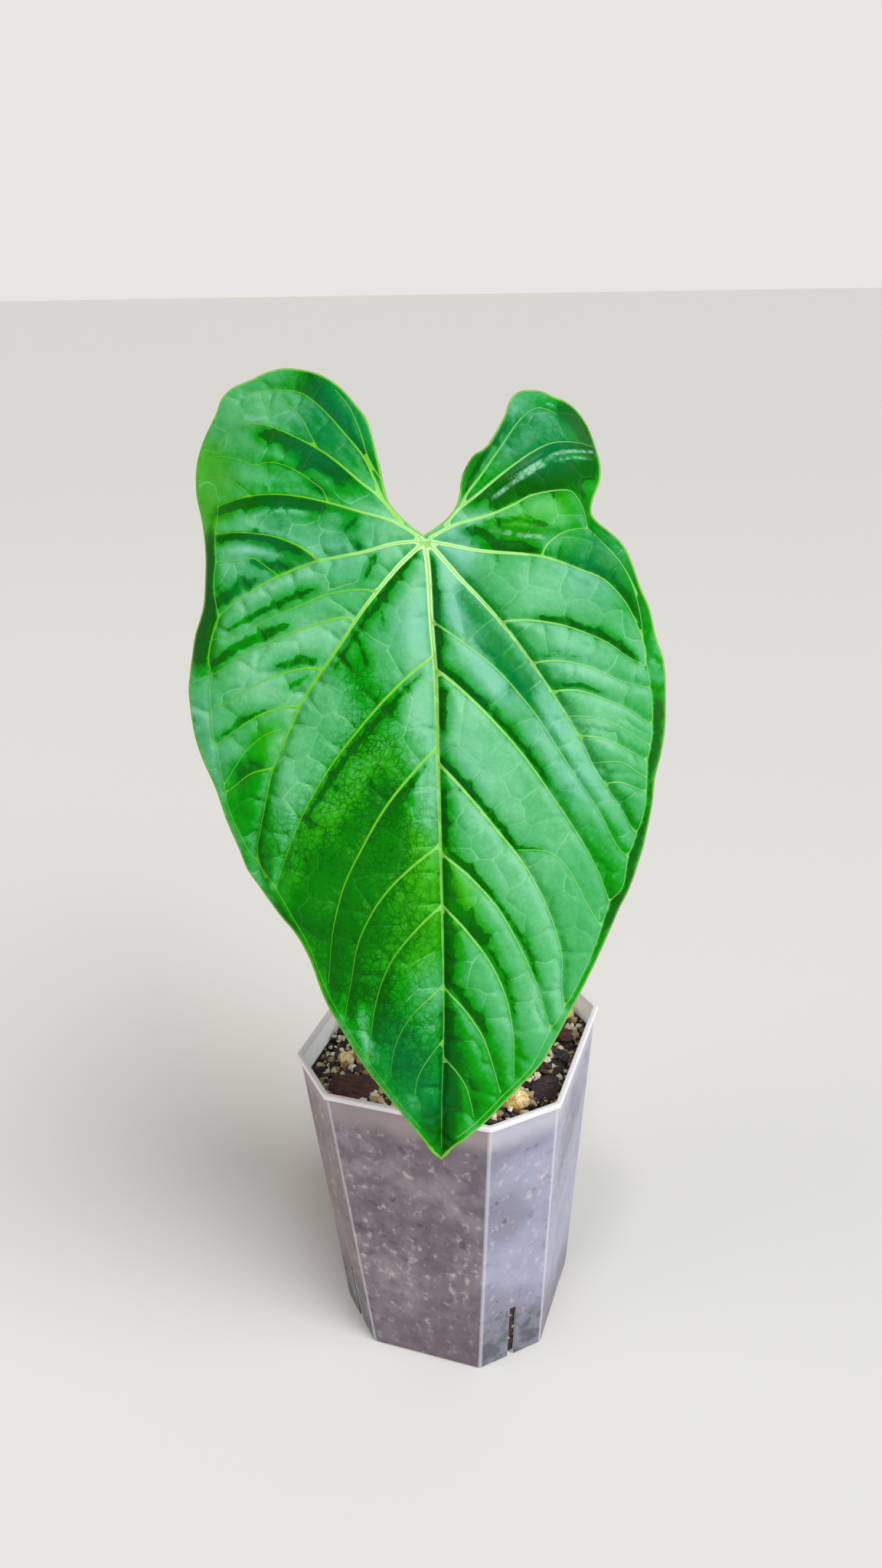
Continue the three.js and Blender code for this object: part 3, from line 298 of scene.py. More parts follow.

# Painted shade and painted sheen on the leaf's green beside its veins and on its bulges: how
# strong, dark below 0 and light above it, how wide, and along which line. Dark ones narrower
# than WIDEST_CREASE are painted shade in creases.
SHADES = [
    (-0.35, 1.6, [(-37, -57), (-33, -49), (-28, -42)]),
    (-0.35, 1.5, [(-29, -43), (-23, -34), (-17, -21)]), (-0.32, 9, [(-36, -52), (-28, -38)]),
    (-0.22, 9, [(-36, -30), (-22, -22)]), (-0.12, 9, [(-26, -10), (-36, -16)]),
    (-0.32, 8, [(54, -42), (61, -27)]), (-0.15, 9, [(34, -34), (44, -40)]),
    (-0.2, 8, [(48, -12), (60, -2)]), (-0.2, 7, [(71, 12), (75, 26)]),
    (-0.45, 5, [(-76, 6), (-78, 34)]), (0.3, 8, [(-44, 31), (-34, 31)]),
    (0.15, 10, [(-60, 34), (-40, 48), (-34, 56)]),
    (0.22, 9, [(34, 20), (44, 32), (52, 48), (54, 64)]), (0.26, 8, [(11, 58), (12, 72), (18, 92)]),
    (0.16, 9, [(25, 76), (28, 98), (38, 106)]), (0.16, 6, [(-1, 42), (-3, 66), (-1, 92)]),
    (0.15, 6, [(-2, 0), (8, -3), (14, 4), (9, 12)]), (0.22, 7, [(-11, -7), (-14, 4)]),
    (0.14, 8, [(-60, -7), (-62, 30)]), (0.14, 8, [(12, 110), (22, 124)]),
    (-0.28, 9, [(-62, 78), (-60, 104)]), (-0.3, 10, [(-14, 102), (-12, 134)]),
    (-0.25, 7, [(0, 118), (0, 132)]), (-0.26, 12, [(-24, 138), (-22, 158), (-16, 178)]),
    (-0.35, 8, [(-38, 130), (-36, 152)]), (-0.22, 10, [(6, 172), (10, 190)]),
    (-0.2, 9, [(24, 176), (16, 190)]), (-0.2, 8, [(60, 104), (62, 126)]),
    (-0.55, 2.0, [(-54, -36), (-46, -34), (-37, -29.5)]),
    (-0.55, 1.8, [(-41, -24), (-33, -25), (-24, -19.5)]),
    (-0.22, 0.9, [(-70, -30.5), (-61, -27.5), (-55, -26)]),
    (-0.3, 1.0, [(-53, -26.5), (-47, -25), (-41, -22)]),
    (-0.4, 1.1, [(-37, -20), (-34, -16.5), (-31, -13.5)]), (-0.3, 1.0, [(-30, -19), (-24, -16)]),
    (-0.65, 1.8, [(-69, -10.5), (-60, -12.8), (-48, -13), (-38, -11), (-33, -10.5)]),
    (0.35, 1.0, [(-56, -8.5), (-47, -10), (-38, -8.5)]),
    (-0.6, 1.3, [(-69, -1.8), (-56, -1.8), (-48, 1.2), (-41, 4.5)]),
    (0.25, 1.3, [(-66, 2), (-57, 2.5), (-48, 5)]), (-0.5, 1.5, [(-58, 6), (-53, 8), (-46, 9)]),
    (-0.5, 2.2, [(-73, 21), (-65, 16.5), (-57, 12.5)]), (-0.6, 2.2, [(-74, 4), (-75, 20), (-78, 34)]),
    (-0.45, 1.0, [(-16, 6), (-17.5, 9), (-19.5, 13)]), (-0.4, 0.9, [(-22, -6), (-26, -2)]),
    (-0.4, 0.8, [(-22, 1), (-21, 4)]), (0.25, 2.6, [(-62, 19), (-50, 14.5), (-38, 11)]),
    (-0.45, 1.1, [(-66, 28.5), (-56, 23.8), (-47, 20.2), (-37, 16.5)]),
    (-0.55, 1.7, [(-72, 40), (-62, 34), (-53, 30.5), (-46, 28)]),
    (-0.45, 1.3, [(-50, 41.5), (-43, 40), (-36, 40)]), (-0.4, 1.1, [(-46, 48.5), (-40, 45)]),
    (-0.45, 0.9, [(-71, 65), (-62, 59), (-54, 55.5)]), (-0.35, 4, [(-58, 65), (-50, 60)]),
    (0.15, 7, [(-64, 62), (-66, 70)]), (-0.35, 4, [(-64, 76), (-56, 73)]),
    (-0.15, 6, [(-63, 88), (-58, 84)]), (-0.65, 1.0, [(-2.5, 5), (-9, 13), (-16, 22.5), (-20, 27)]),
    (-0.4, 1.0, [(-20, 27), (-24, 33), (-31, 43)]), (-0.35, 0.8, [(-15, 24), (-14, 30)]),
    (-0.45, 0.9, [(-24, 31), (-22, 36), (-20, 42)]), (-0.3, 0.8, [(-28, 38), (-24, 45)]),
    (-0.3, 5, [(-24, 44), (-20, 53)]),
    (-0.5, 1.0, [(-1.5, 45), (-9, 51.5), (-18, 61), (-27, 71), (-34, 80), (-42, 92)]),
    (-0.45, 1.8, [(-11, 54), (-16, 60)]), (-0.4, 1.5, [(-34, 80), (-31, 83)]),
    (-0.4, 1.8, [(-43, 91), (-40, 95)]), (-0.15, 8, [(-20, 66), (-12, 70)]),
    (-0.5, 8, [(-16, 83), (-24, 92), (-34, 104)]), (-0.5, 9, [(-40, 112), (-46, 124)]),
    (-0.38, 6, [(-29, 112), (-31, 126), (-34, 144)]), (-0.4, 1.3, [(-2, 76), (-10, 85), (-18, 96)]),
    (-0.3, 8, [(-12, 98), (-20, 112), (-24, 128)]), (-0.3, 9, [(-20, 152), (-14, 168), (-8, 182)]),
    (0.4, 1.8, [(-26, 157), (-25.5, 166), (-22, 174)]), (-0.75, 6, [(-3, 197), (0, 208)]),
    (-0.7, 0.9, [(2.6, 8), (3.4, 25), (4.0, 46)]), (-0.6, 1.3, [(4.0, 50), (4.2, 64)]),
    (-0.55, 1.0, [(3.8, 84), (3.8, 102)]), (-0.55, 1.6, [(4.0, 108), (3.8, 121)]),
    (-0.6, 1.8, [(3.8, 127), (3.0, 150)]), (-0.5, 2.6, [(2.6, 158), (2, 178), (1.5, 196)]),
    (-0.6, 1.1, [(4, 43.2), (10, 48.3), (19, 57.5)]), (-0.45, 0.8, [(19, 57.5), (30, 70), (38, 82)]),
    (-0.65, 1.2, [(3.6, 74), (9, 80.5), (16, 88.5)]), (-0.5, 1.1, [(16, 88.5), (23, 98), (28, 105)]),
    (-0.4, 0.8, [(28, 104), (36, 105)]), (-0.5, 1.3, [(5, 104.5), (12, 111), (19, 119.5)]),
    (-0.65, 2.0, [(4, 121), (10, 127), (16, 135)]), (-0.35, 1.0, [(16, 135), (22, 147), (25, 160)]),
    (-0.35, 1.0, [(19, 119.5), (28, 134), (33, 148)]),
    (-0.45, 1.4, [(4, 149), (9.5, 156), (15.6, 166)]),
    (-0.42, 4.0, [(12, 19), (19, 29), (27, 40.5), (33, 49)]),
    (0.12, 2.4, [(36, 57), (41, 64), (47, 72)]), (0.11, 14, [(0, 8), (8, 54)]),
    (-0.16, 6, [(13, 36), (22, 46), (32, 58)]),
    (-0.55, 1.2, [(37, 28.2), (45, 29.8), (53, 32.6), (61, 36.6), (69, 42)]),
    (-0.25, 0.8, [(38, 41.2), (46, 40.8), (52, 42)]),
    (-0.45, 0.8, [(43, 51), (50, 50.8), (57, 53.6)]), (-0.55, 0.9, [(14, -14), (21, -26), (29, -37)]),
    (-0.3, 0.7, [(17.5, -14), (25, -27), (33, -39)]), (-0.4, 4, [(50, -42), (57, -36), (58, -31)]),
    (-0.6, 1.7, [(18, -10.5), (27, -17.2), (36, -23.8), (44, -28), (56, -30.5)]),
    (-0.7, 3.2, [(23, -8.5), (32, -14.5), (44, -18.5), (57, -22)]),
    (-0.4, 1.5, [(19, -3.4), (30, -4), (40, -2.5)]),
    (-0.65, 1.3, [(14, -1.5), (19, 0), (24, 4), (30, 5.2), (37, 5.6)]),
    (-0.25, 6, [(50, 6), (60, 13), (68, 25)]), (0.3, 3.0, [(6, 14), (9, 26), (15, 40), (22, 50)]),
    (0.15, 2.6, [(8, 39), (20, 50), (32, 65), (44, 82)]),
    (0.2, 3.2, [(-3.5, 16), (-4.5, 38), (-4.5, 60)]), (0.3, 2.0, [(-3, 76), (-5, 84)]),
    (0.1, 10, [(-62, -48), (-50, -42)]), (0.08, 12, [(48, 18), (62, 48), (60, 78)]),
    (0.12, 13, [(28, 112), (36, 136), (30, 160)]), (0.25, 7, [(-60, 44), (-46, 68), (-50, 84)]),
    (0.35, 3.2, [(14, -4), (27, -8), (42, -9)]),
]

# Areas with a fine rough network and deeper painted quilt shade: where, how wide and how strong
ROUGH_AREAS = [
    ((-22, 50), 10, 0.8), ((-18, 68), 13, 1.0), ((-24, 86), 18, 1.0), ((-12, 106), 18, 0.9),
    ((-46, 98), 12, 0.7), ((-14, 140), 18, 0.7), ((-10, 172), 18, 0.9), ((-42, 104), 10, 0.6),
    ((-31, 130), 14, 0.8), ((-26, 154), 12, 0.7),
]

# Areas where the blade's colour turns: where, how wide, and how far to yellow (above 0) or to a
# blue-green painted reflection (below 0)
TINTS_AND_SHEENS = [
    ((-79, -24), 13, 1.6), ((-75, -6), 8, 0.8), ((-62, 38), 22, 0.1), ((-18, 74), 12, 0.5),
    ((-10, 108), 13, 1.2), ((4, 120), 10, 1.0), ((-10, 132), 13, 1.0), ((30, -8), 12, 0.6),
    ((45, -8), 10, 0.6), ((28, 135), 22, 0.2), ((-28, 96), 14, 0.8), ((-36, 116), 14, 0.9),
    ((-34, 140), 12, 0.6), ((-52, 66), 10, 0.5), ((-60, -12), 10, 0.3),
    ((12, 22), 9, -0.8), ((20, 36), 9, -0.8), ((30, 50), 8, -0.7), ((39, 64), 8, -0.6),
    ((10, 4), 9, -0.8), ((-30, -34), 18, -0.6), ((36, -24), 12, -0.5), ((-70, 72), 9, -0.5),
    ((48, 80), 10, -0.6), ((20, 50), 9, -0.3), ((56, 10), 13, -0.8), ((-6, 30), 10, -0.6),
    ((14, 76), 12, -0.3), ((46, 44), 14, -0.4), ((60, 95), 14, -0.2), ((-12, 172), 16, -0.6),
    ((-6, 190), 10, -0.5), ((-60, 10), 14, -0.5), ((-50, -6), 12, -0.5), ((-28, -42), 14, -0.6),
    ((34, -34), 16, -0.7), ((-77, 55), 8, -0.6), ((-28, 4), 12, -0.6), ((46, -32), 10, -0.4),
]


def smooth_step(low, high, value):
    t = np.clip((value - low) / (high - low), 0, 1)
    return t * t * (3 - 2 * t)


def bell(distance, reach):
    """1 at no distance, falling smoothly away over the reach."""
    return np.exp(-(distance / reach) ** 2)


def lengths_along(path):
    """Length of a path up to each of its points."""
    return np.concatenate([[0], np.cumsum(np.linalg.norm(np.diff(path, axis=0), axis=1))])


def spline(points, step=VEIN_STEP):
    """Points at an even step along a smooth curve through the given points."""
    p = np.array(points, float)
    p = np.vstack([p[0], p, p[-1]])
    t = np.linspace(0, 1, 12, endpoint=False)[:, None]
    pieces = []
    for a, b, c, d in zip(p[:-3], p[1:-2], p[2:-1], p[3:]):
        bend = (2 * a - 5 * b + 4 * c - d) * t ** 2 + (3 * b - a - 3 * c + d) * t ** 3
        pieces.append(0.5 * (2 * b + (c - a) * t + bend))
    dense = np.vstack(pieces + [p[-1:]])
    length = lengths_along(dense)
    places = np.linspace(0, length[-1], max(round(length[-1] / step), 2) + 1)
    return np.column_stack([np.interp(places, length, dense[:, k]) for k in range(p.shape[1])])


def nearest(points, lines, half_widths):
    """Distance from each point to the middle of the line whose edge is nearest, and that line's
    half width there."""
    starts = np.vstack([line[:-1] for line in lines])
    along = np.vstack([np.diff(line, axis=0) for line in lines])
    width_starts = np.concatenate([widths[:-1] for widths in half_widths])
    width_steps = np.concatenate([np.diff(widths) for widths in half_widths])
    squares = (along ** 2).sum(1)
    distance = np.empty(len(points))
    width = np.empty(len(points))
    for first in range(0, len(points), 2000):
        away = points[first:first + 2000, None] - starts
        t = np.clip((away * along).sum(2) / squares, 0, 1)
        gap = np.hypot(away[..., 0] - t * along[:, 0], away[..., 1] - t * along[:, 1])
        width_there = width_starts + t * width_steps
        best = (gap - width_there).argmin(1)
        rows = np.arange(len(best))
        distance[first:first + 2000] = gap[rows, best]
        width[first:first + 2000] = width_there[rows, best]
    return distance, width


def distance_to(points, *lines):
    """Distance from each point to the nearest of the lines."""
    return nearest(points, lines, [np.zeros(len(line)) for line in lines])[0]


def furrow(points, furrows, jag):
    """Depth of furrows along lines: steep beside each line, and shallow further out."""
    deepest = np.zeros(len(points))
    for line, depth in furrows:
        distance = distance_to(points, line)
        slope = 0.66 * bell(distance, 1.9 * jag) + 0.34 * bell(distance, 6)
        deepest = np.maximum(deepest, depth * slope)
    return deepest


def areas(points, table):
    """Sum of soft round areas, each given by its middle, reach and strength."""
    across, down = points.T
    return sum(strength * np.exp(-((across - x) ** 2 + (down - y) ** 2) / reach ** 2)
               for (x, y), reach, strength in table)


def waves(points, width, height, layer):
    """Smooth noise at each point, in waves of a width and a height."""
    return np.array([noise.noise((x / width, y / height, layer)) for x, y in points])


def triangle_normals(places, faces):
    """Normals at the points of a triangle mesh."""
    corners = places[faces]
    normals = np.cross(corners[:, 1] - corners[:, 0], corners[:, 2] - corners[:, 0])
    outward = np.zeros_like(places)
    for k in range(3):
        np.add.at(outward, faces[:, k], normals)
    return outward / np.linalg.norm(outward, axis=1)[:, None]


def is_inside(points, outline):
    inside = np.zeros(len(points), bool)
    x, y = points.T
    for (x0, y0), (x1, y1) in zip(outline, np.roll(outline, -1, axis=0)):
        if y0 != y1:
            crosses = (y0 > y) != (y1 > y)
            inside ^= crosses & (x < (x1 - x0) * (y - y0) / (y1 - y0) + x0)
    return inside


# Materials. Colours are red, green and blue as they look, from 0 to 255, and places are in metres.


def colour_value(colour):
    """What a colour socket takes: a link as it is, or the shader's values of a colour."""
    if isinstance(colour, bpy.types.NodeSocket):
        return colour
    shares = [c / 255 for c in colour]
    return [c / 12.92 if c <= 0.04045 else ((c + 0.055) / 1.055) ** 2.4 for c in shares] + [1.0]


class Shader:
    """A material's nodes, with short calls that add and join them."""

    def __init__(self, name):
        self.material = bpy.data.materials.new(name)
        self.material.use_nodes = True
        self.tree = self.material.node_tree
        self.surface = self.tree.nodes["Principled BSDF"]
        self.spot = self.node("TexCoord", {}).outputs["Object"]

    def feed(self, socket, value):
        if isinstance(value, bpy.types.NodeSocket):
            self.tree.links.new(value, socket)
        else:
            socket.default_value = value

    def node(self, kind, values, **settings):
        node = self.tree.nodes.new("ShaderNode" + kind)
        for name, setting in settings.items():
            setattr(node, name, setting)
        for name, value in values.items():
            self.feed(node.inputs[name], value)
        return node

    def attribute(self, name):
        return self.node("Attribute", {}, attribute_name=name).outputs["Fac"]

    def parts(self, vector):
        return self.node("SeparateXYZ", {"Vector": vector}).outputs

    def math(self, operation, a, b=0.0, c=0.0):
        return self.node("Math", {0: a, 1: b, 2: c}, operation=operation).outputs[0]

    def plus(self, a, b):
        return self.math("ADD", a, b)

    def minus(self, a, b):
        return self.math("SUBTRACT", a, b)

    def times(self, a, b):
        return self.math("MULTIPLY", a, b)

    def fade(self, value, low, high, start=0.0, end=1.0):
        """start where the value is low, end where it is high, and a smooth change between."""
        values = {"Value": value, "From Min": low, "From Max": high, "To Min": start, "To Max": end}
        return self.node("MapRange", values, interpolation_type="SMOOTHSTEP").outputs["Result"]

    def layers(self, base, *others):
        """A base colour with others laid over it in turn, each after how much of it shows."""
        for factor, other in others:
            values = {0: factor, 6: colour_value(base), 7: colour_value(other)}
            base = self.node("Mix", values, data_type="RGBA", blend_type="MIX").outputs[2]
        return base

    def noise(self, scale, detail=3.0, roughness=0.5, stretch=None):
        vector = self.spot
        if stretch:
            vector = self.node("Mapping", {"Vector": vector, "Scale": stretch}).outputs["Vector"]
        values = {"Vector": vector, "Scale": scale, "Detail": detail, "Roughness": roughness}
        return self.node("TexNoise", values).outputs["Fac"]

    def cells(self, scale, feature="F1", output="Distance"):
        return self.node("TexVoronoi", {"Vector": self.spot, "Scale": scale},
                         feature=feature).outputs[output]

    def finish(self, colour, roughness, relief=None, depth=0.0, **others):
        """Join the colour, the roughness and a relief of a depth in mm to the surface."""
        if relief is not None:
            bump = self.node("Bump", {"Height": relief, "Distance": depth * MM, "Strength": 1.0})
            self.feed(self.surface.inputs["Normal"], bump.outputs["Normal"])
        for name, value in {"Base Color": colour_value(colour), "Roughness": roughness, **others}.items():
            self.feed(self.surface.inputs[name.replace("_", " ")], value)
        return self.material


def leaf_face_material():
    """The leaf's glossy face: pale veins, a fine net, a thin pale margin and painted glints."""
    s = Shader("leaf_face")
    vein = s.attribute("vein")
    width = s.attribute("vein_width")
    to_glint = s.attribute("glint")
    grain = s.cells(620.0)
    small_cells = s.cells(330.0, "DISTANCE_TO_EDGE")
    shade = leaf_shade(s, grain, small_cells)
    on_vein = s.times(s.fade(vein, 1.15, 0.7), s.fade(width, 0.16, 0.5, 0.65, 0.95))
    breaks = s.times(s.fade(s.noise(230.0, 2.0), 0.38, 0.6, 0.15, 1.0),
                     s.fade(small_cells, 0.0, 0.06, 0.3, 1.0))
    # painted glints, broken up along the small cells
    glint = s.times(s.fade(to_glint, 0.6, -0.3), breaks)
    colour = s.layers(lamina_colour(s, shade, small_cells), (on_vein, vein_colour(s, vein, width)),
                      (s.times(glint, 0.7), (142, 196, 166)),
                      (s.fade(s.attribute("margin"), 0.85, 0.3, 0.0, 0.7), (136, 188, 64)))
    veins_and_net = s.plus(s.times(s.fade(vein, 1.5, 0.3), 0.18),
                           s.times(s.fade(s.attribute("net"), 0.0, 1.1), 0.05))
    pores = s.plus(s.times(grain, 0.04), s.times(s.noise(900.0, 2.0), 0.04))
    gloss = s.times(s.fade(s.noise(160.0), 0.3, 0.7, 0.32, 0.44),
                    s.fade(to_glint, 1.0, 3.0, 0.4, 1.0))
    return s.finish(colour, gloss, s.plus(veins_and_net, pores), 1.0, Specular_IOR_Level=0.07)


def leaf_shade(s, grain, small_cells):
    """Painted shade and sheen, with clouds, grain and painted shade in quilt lines and creases."""
    clouds = s.fade(s.noise(150.0, 4.0), 0.3, 0.7, -0.035, 0.035)
    shade = s.plus(s.plus(s.attribute("shade"), clouds), s.fade(grain, 0.2, 0.7, 0.02, -0.03))
    quilt_shade = s.times(s.fade(small_cells, 0.0, 0.16, -0.11, 0.04),
                    s.fade(s.attribute("rough"), 0.0, 1.0, 0.3, 1.1))
    crease_shade = s.times(s.attribute("crease_shade"), s.fade(s.noise(420.0), 0.3, 0.7, 0.75, 1.25))
    return s.minus(s.plus(quilt_shade, shade), s.fade(crease_shade, 0.14, 0.43, 0.0, 0.42))


def lamina_colour(s, shade, small_cells):
    """Between the veins: dark painted shade to milky painted sheen, then the tints and fine nets."""
    tint_and_sheen = s.attribute("tint_and_sheen")
    # painted shade at the dark end of this green and painted sheen at its milky end
    green = s.layers((0, 84, 0), (s.fade(shade, -0.1, 0.34), (2, 134, 4)),
                     (s.fade(shade, 0.28, 0.62), (62, 152, 84)),
                     (s.fade(shade, 0.56, 1.0), (112, 178, 134)))
    yellow = s.layers((4, 112, 0), (s.fade(shade, 0.0, 0.5), (62, 162, 0)))
    # blue-green painted reflection of a bluish window, paler where the painted shade is light
    blue_sheen = s.layers((0, 106, 60), (s.fade(shade, 0.2, 0.85), (114, 174, 160)))
    crazing = s.times(s.fade(s.cells(520.0, "DISTANCE_TO_EDGE"), 0.13, 0.02),
                      s.fade(s.noise(260.0), 0.35, 0.6, 0.05, 0.55))
    small_net = s.times(s.fade(small_cells, 0.08, 0.02, 0.0, 0.14), s.fade(shade, 0.35, 0.8))
    net = s.times(s.fade(s.attribute("net"), 0.32, 0.08), s.attribute("net_strength"))
    return s.layers(green, (s.fade(tint_and_sheen, 0.0, 1.0, 0.0, 0.75), yellow),
                    (s.fade(tint_and_sheen, 0.0, -1.0, 0.0, 0.65), blue_sheen),
                    (s.times(crazing, s.attribute("rough")), (0, 62, 2)),
                    (small_net, (130, 196, 136)),
                    (s.times(net, s.fade(shade, 0.15, 0.6, 0.1, 1.0)), (126, 192, 132)))


def vein_colour(s, vein, width):
    """Veins: palest by the joint, olive on the left side, and dim in painted shade at its lower end."""
    across = s.attribute("across")
    from_joint = s.node("VectorMath", {0: s.spot, 1: JOINT * MM}, operation="DISTANCE")
    thin = s.layers((100, 178, 28), (s.fade(across, -30.0, 20.0), (126, 192, 92)))
    far = s.layers((118, 184, 34), (s.fade(across, -6.0, 8.0), (168, 212, 128)))
    wide = s.layers((194, 228, 160), (s.fade(from_joint.outputs["Value"], 0.015, 0.06), far))
    low_left_shade = s.times(s.fade(s.parts(s.spot)["Z"], 0.245, 0.21), s.fade(across, -3.0, -10.0))
    middle = s.times(s.fade(vein, 0.45, 0.1), s.fade(width, 0.45, 0.8, 0.0, 0.6))
    return s.layers(thin, (s.fade(width, 0.3, 0.9), wide), (s.times(low_left_shade, 0.6), (40, 142, 14)),
                    (s.times(middle, s.fade(width, 1.2, 0.95)), (80, 164, 24)))


def leaf_back_material():
    """The underside: paler and matt, with the ribs lighter still."""
    s = Shader("leaf_back")
    net = s.attribute("net")
    colour = s.layers((78, 132, 62), (s.fade(s.noise(60.0, 4.0), 0.3, 0.7), (104, 156, 78)),
                      (s.times(s.fade(net, 0.5, 0.1), 0.6), (146, 182, 104)),
                      (s.fade(s.attribute("vein"), 1.8, 0.9), (160, 186, 104)),
                      (s.fade(s.attribute("margin"), 0.9, 0.3, 0.0, 0.8), (160, 190, 80)))
    relief = s.plus(s.noise(900.0, 2.0), s.fade(net, 1.0, 0.1))
    return s.finish(colour, 0.62, relief, 0.15, Specular_IOR_Level=0.3)


def stalk_material():
    """Smooth green stalk with faint lengthwise lines, browner at the knee and the foot."""
    s = Shader("stalk")
    z = s.parts(s.spot)["Z"]
    lines = s.noise(1.0, stretch=(900, 900, 22))
    colour = s.layers((70, 124, 50), (s.fade(lines, 0.35, 0.65), (104, 152, 66)),
                      (s.fade(z, 0.175, 0.148, 0.0, 0.6), (122, 110, 62)),
                      (s.fade(z, 0.326, 0.338, 0.0, 0.5), (120, 150, 62)))
    return s.finish(colour, 0.42, lines, 0.2)


def stem_material():
    """Stout stem with ring scars and thick pale roots."""
    s = Shader("stem")
    patches = s.noise(260.0, 5.0)
    rings = s.noise(1.0, 2.0, stretch=(120, 120, 900))
    colour = s.layers((84, 88, 44), (s.fade(patches, 0.35, 0.65), (134, 122, 78)),
                      (s.fade(rings, 0.55, 0.7, 0.0, 0.5), (62, 48, 32)))
    return s.finish(colour, 0.75, s.plus(patches, rings), 0.5)


def streaked_material(name, stretch, dark, light, roughness, depth):
    """One streaky texture in the colour and the relief: dry fibres or the grain of charcoal."""
    s = Shader(name)
    streaks = s.noise(1.0, 4.0, stretch=stretch)
    colour = s.layers(dark, (s.fade(streaks, 0.3, 0.7), light))
    return s.finish(colour, roughness, streaks, depth)


def pot_material():
    """Frosted plastic, clouded by the damp mix behind it, clearer above the mix, and with painted light.
    """
    s = Shader("frosted_plastic")
    x, y, z = s.parts(s.spot)
    ax = s.math("ABSOLUTE", x)
    ay = s.math("ABSOLUTE", y)
    from_face, from_flank, from_corner = wall_distances(s, ax, ay, z)
    # painted window light: the sides towards the window paler and bluer
    window_side_light = s.fade(s.minus(x, ay), -0.0212, -0.0204)
    smudge = s.fade(s.noise(90.0, 4.0), 0.5, 0.7, 0.0, 0.3)
    bare = s.layers((150, 136, 140), (smudge, (180, 152, 140)),
                    (s.times(window_side_light, 0.7), (182, 182, 196)))
    above_mix = s.fade(uneven_height(s, z, 0.008), 0.125, 0.136)
    # painted light: the inside of the wall near white, for light that shines through the plastic
    inner = s.times(s.fade(from_face, -0.0004, -0.0007), s.fade(from_flank, -0.0004, -0.0007))
    colour = s.layers(clouded_wall(s, x, ax, ay, z, window_side_light), (above_mix, bare),
                      (inner, (255, 253, 251)),
                      # upright edges paler: thicker plastic there, and a painted highlight
                      (s.fade(from_corner, 0.0012, 0.0004, 0.0, 0.5), (204, 196, 204)),
                      # the lip paler than the bare wall: thicker plastic there, and a painted highlight
                      (s.fade(z, 0.1368, 0.1374), (226, 218, 222)))
    return s.finish(colour, 0.42, s.noise(700.0), 0.08, Subsurface_Weight=0.5,
                    Subsurface_Scale=0.004, Subsurface_Radius=(1.0, 1.0, 1.0))


def wall_distances(s, ax, ay, z):
    """How far a spot is outside the pot's wide face, outside its cut corner, and from the upright
    edge between them."""
    cut = POT_CORNER_CUT * MM
    half = s.math("MULTIPLY_ADD", z, POT_SLOPE, POT_BASE_WIDTH / 2 * MM)
    from_face = s.minus(s.math("MAXIMUM", ax, ay), half)
    from_cut = s.minus(s.math("MINIMUM", ax, ay), s.minus(half, cut))
    flank = s.minus(s.plus(ax, ay), s.minus(s.times(half, 2.0), cut))
    squares = s.plus(s.times(from_face, from_face), s.times(from_cut, from_cut))
    return from_face, s.math("DIVIDE", flank, math.sqrt(2)), s.math("SQRT", squares)


def clouded_wall(s, x, ax, ay, z, window_side_light):
    """The wall with the mix behind it: mottled, blotched and flecked, and stained low down."""
    region = s.fade(s.noise(26.0, 2.0), 0.38, 0.62)
    mottle = s.noise(130.0, 3.0, 0.55)
    # painted brown reflection of the room on the sides away from the window
    room_reflection = s.fade(s.plus(x, ay), 0.0212, 0.0204)
    on_cut = s.fade(s.math("ABSOLUTE", s.minus(ax, ay)), 0.0209, 0.0205)
    blotches = s.times(s.fade(s.noise(190.0, 3.0, 0.6), 0.56, 0.72),
                       s.fade(region, 0.0, 1.0, 0.3, 0.75))
    flecks = s.fade(s.noise(260.0, 3.0, 0.6, stretch=(1, 1, 0.8)), 0.54, 0.78, 0.0, 0.7)
    stain = s.layers((58, 62, 66), (s.fade(mottle, 0.4, 0.6), (112, 118, 128)))
    stained = s.fade(uneven_height(s, z, 0.03), 0.052, 0.03, 0.0, 0.7)
    return s.layers((104, 92, 102), (s.fade(mottle, 0.3, 0.7), (138, 126, 134)),
                    (s.times(window_side_light, 0.65), (162, 166, 190)),
                    (s.times(room_reflection, 0.4), (132, 112, 100)),
                    (s.times(region, 0.45), (84, 68, 80)),
                    (blotches, (58, 46, 62)), (flecks, (204, 188, 182)),
                    (s.fade(z, 0.035, 0.0, 0.0, 0.5), (72, 54, 66)),
                    (s.times(on_cut, stained), stain))


def uneven_height(s, z, reach):
    """Height with an uneven shift, for the edge of a stain or of the damp mix behind the wall."""
    return s.plus(z, s.times(s.noise(70.0), reach))


def mix_material():
    """Dark damp fines between the granules, with pale crumbs among them."""
    s = Shader("growing_mix")
    crumbs = s.cells(420.0)
    kind = s.parts(s.cells(420.0, output="Color"))[0]
    pale = s.times(s.fade(kind, 0.78, 0.82), s.fade(crumbs, 0.5, 0.3))
    colour = s.layers((22, 18, 18), (s.fade(kind, 0.2, 0.6), (66, 44, 36)), (pale, (196, 176, 142)))
    return s.finish(colour, 0.9, s.plus(s.fade(crumbs, 0.0, 0.6, 1.0, 0.0), s.noise(900.0, 4.0)), 0.9)


def granule_material(name, low, middle, high, roughness):
    """A broken granule: its shade is its own, with fine speckles on it."""
    s = Shader(name)
    shade = s.attribute("shade")
    colour = s.layers(low, (s.fade(shade, 0.0, 0.55), middle), (s.fade(shade, 0.5, 1.0), high),
                      (s.fade(s.noise(1300.0), 0.5, 0.75, 0.0, 0.5), low))
    return s.finish(colour, roughness, s.noise(1600.0, 4.0), 0.35)


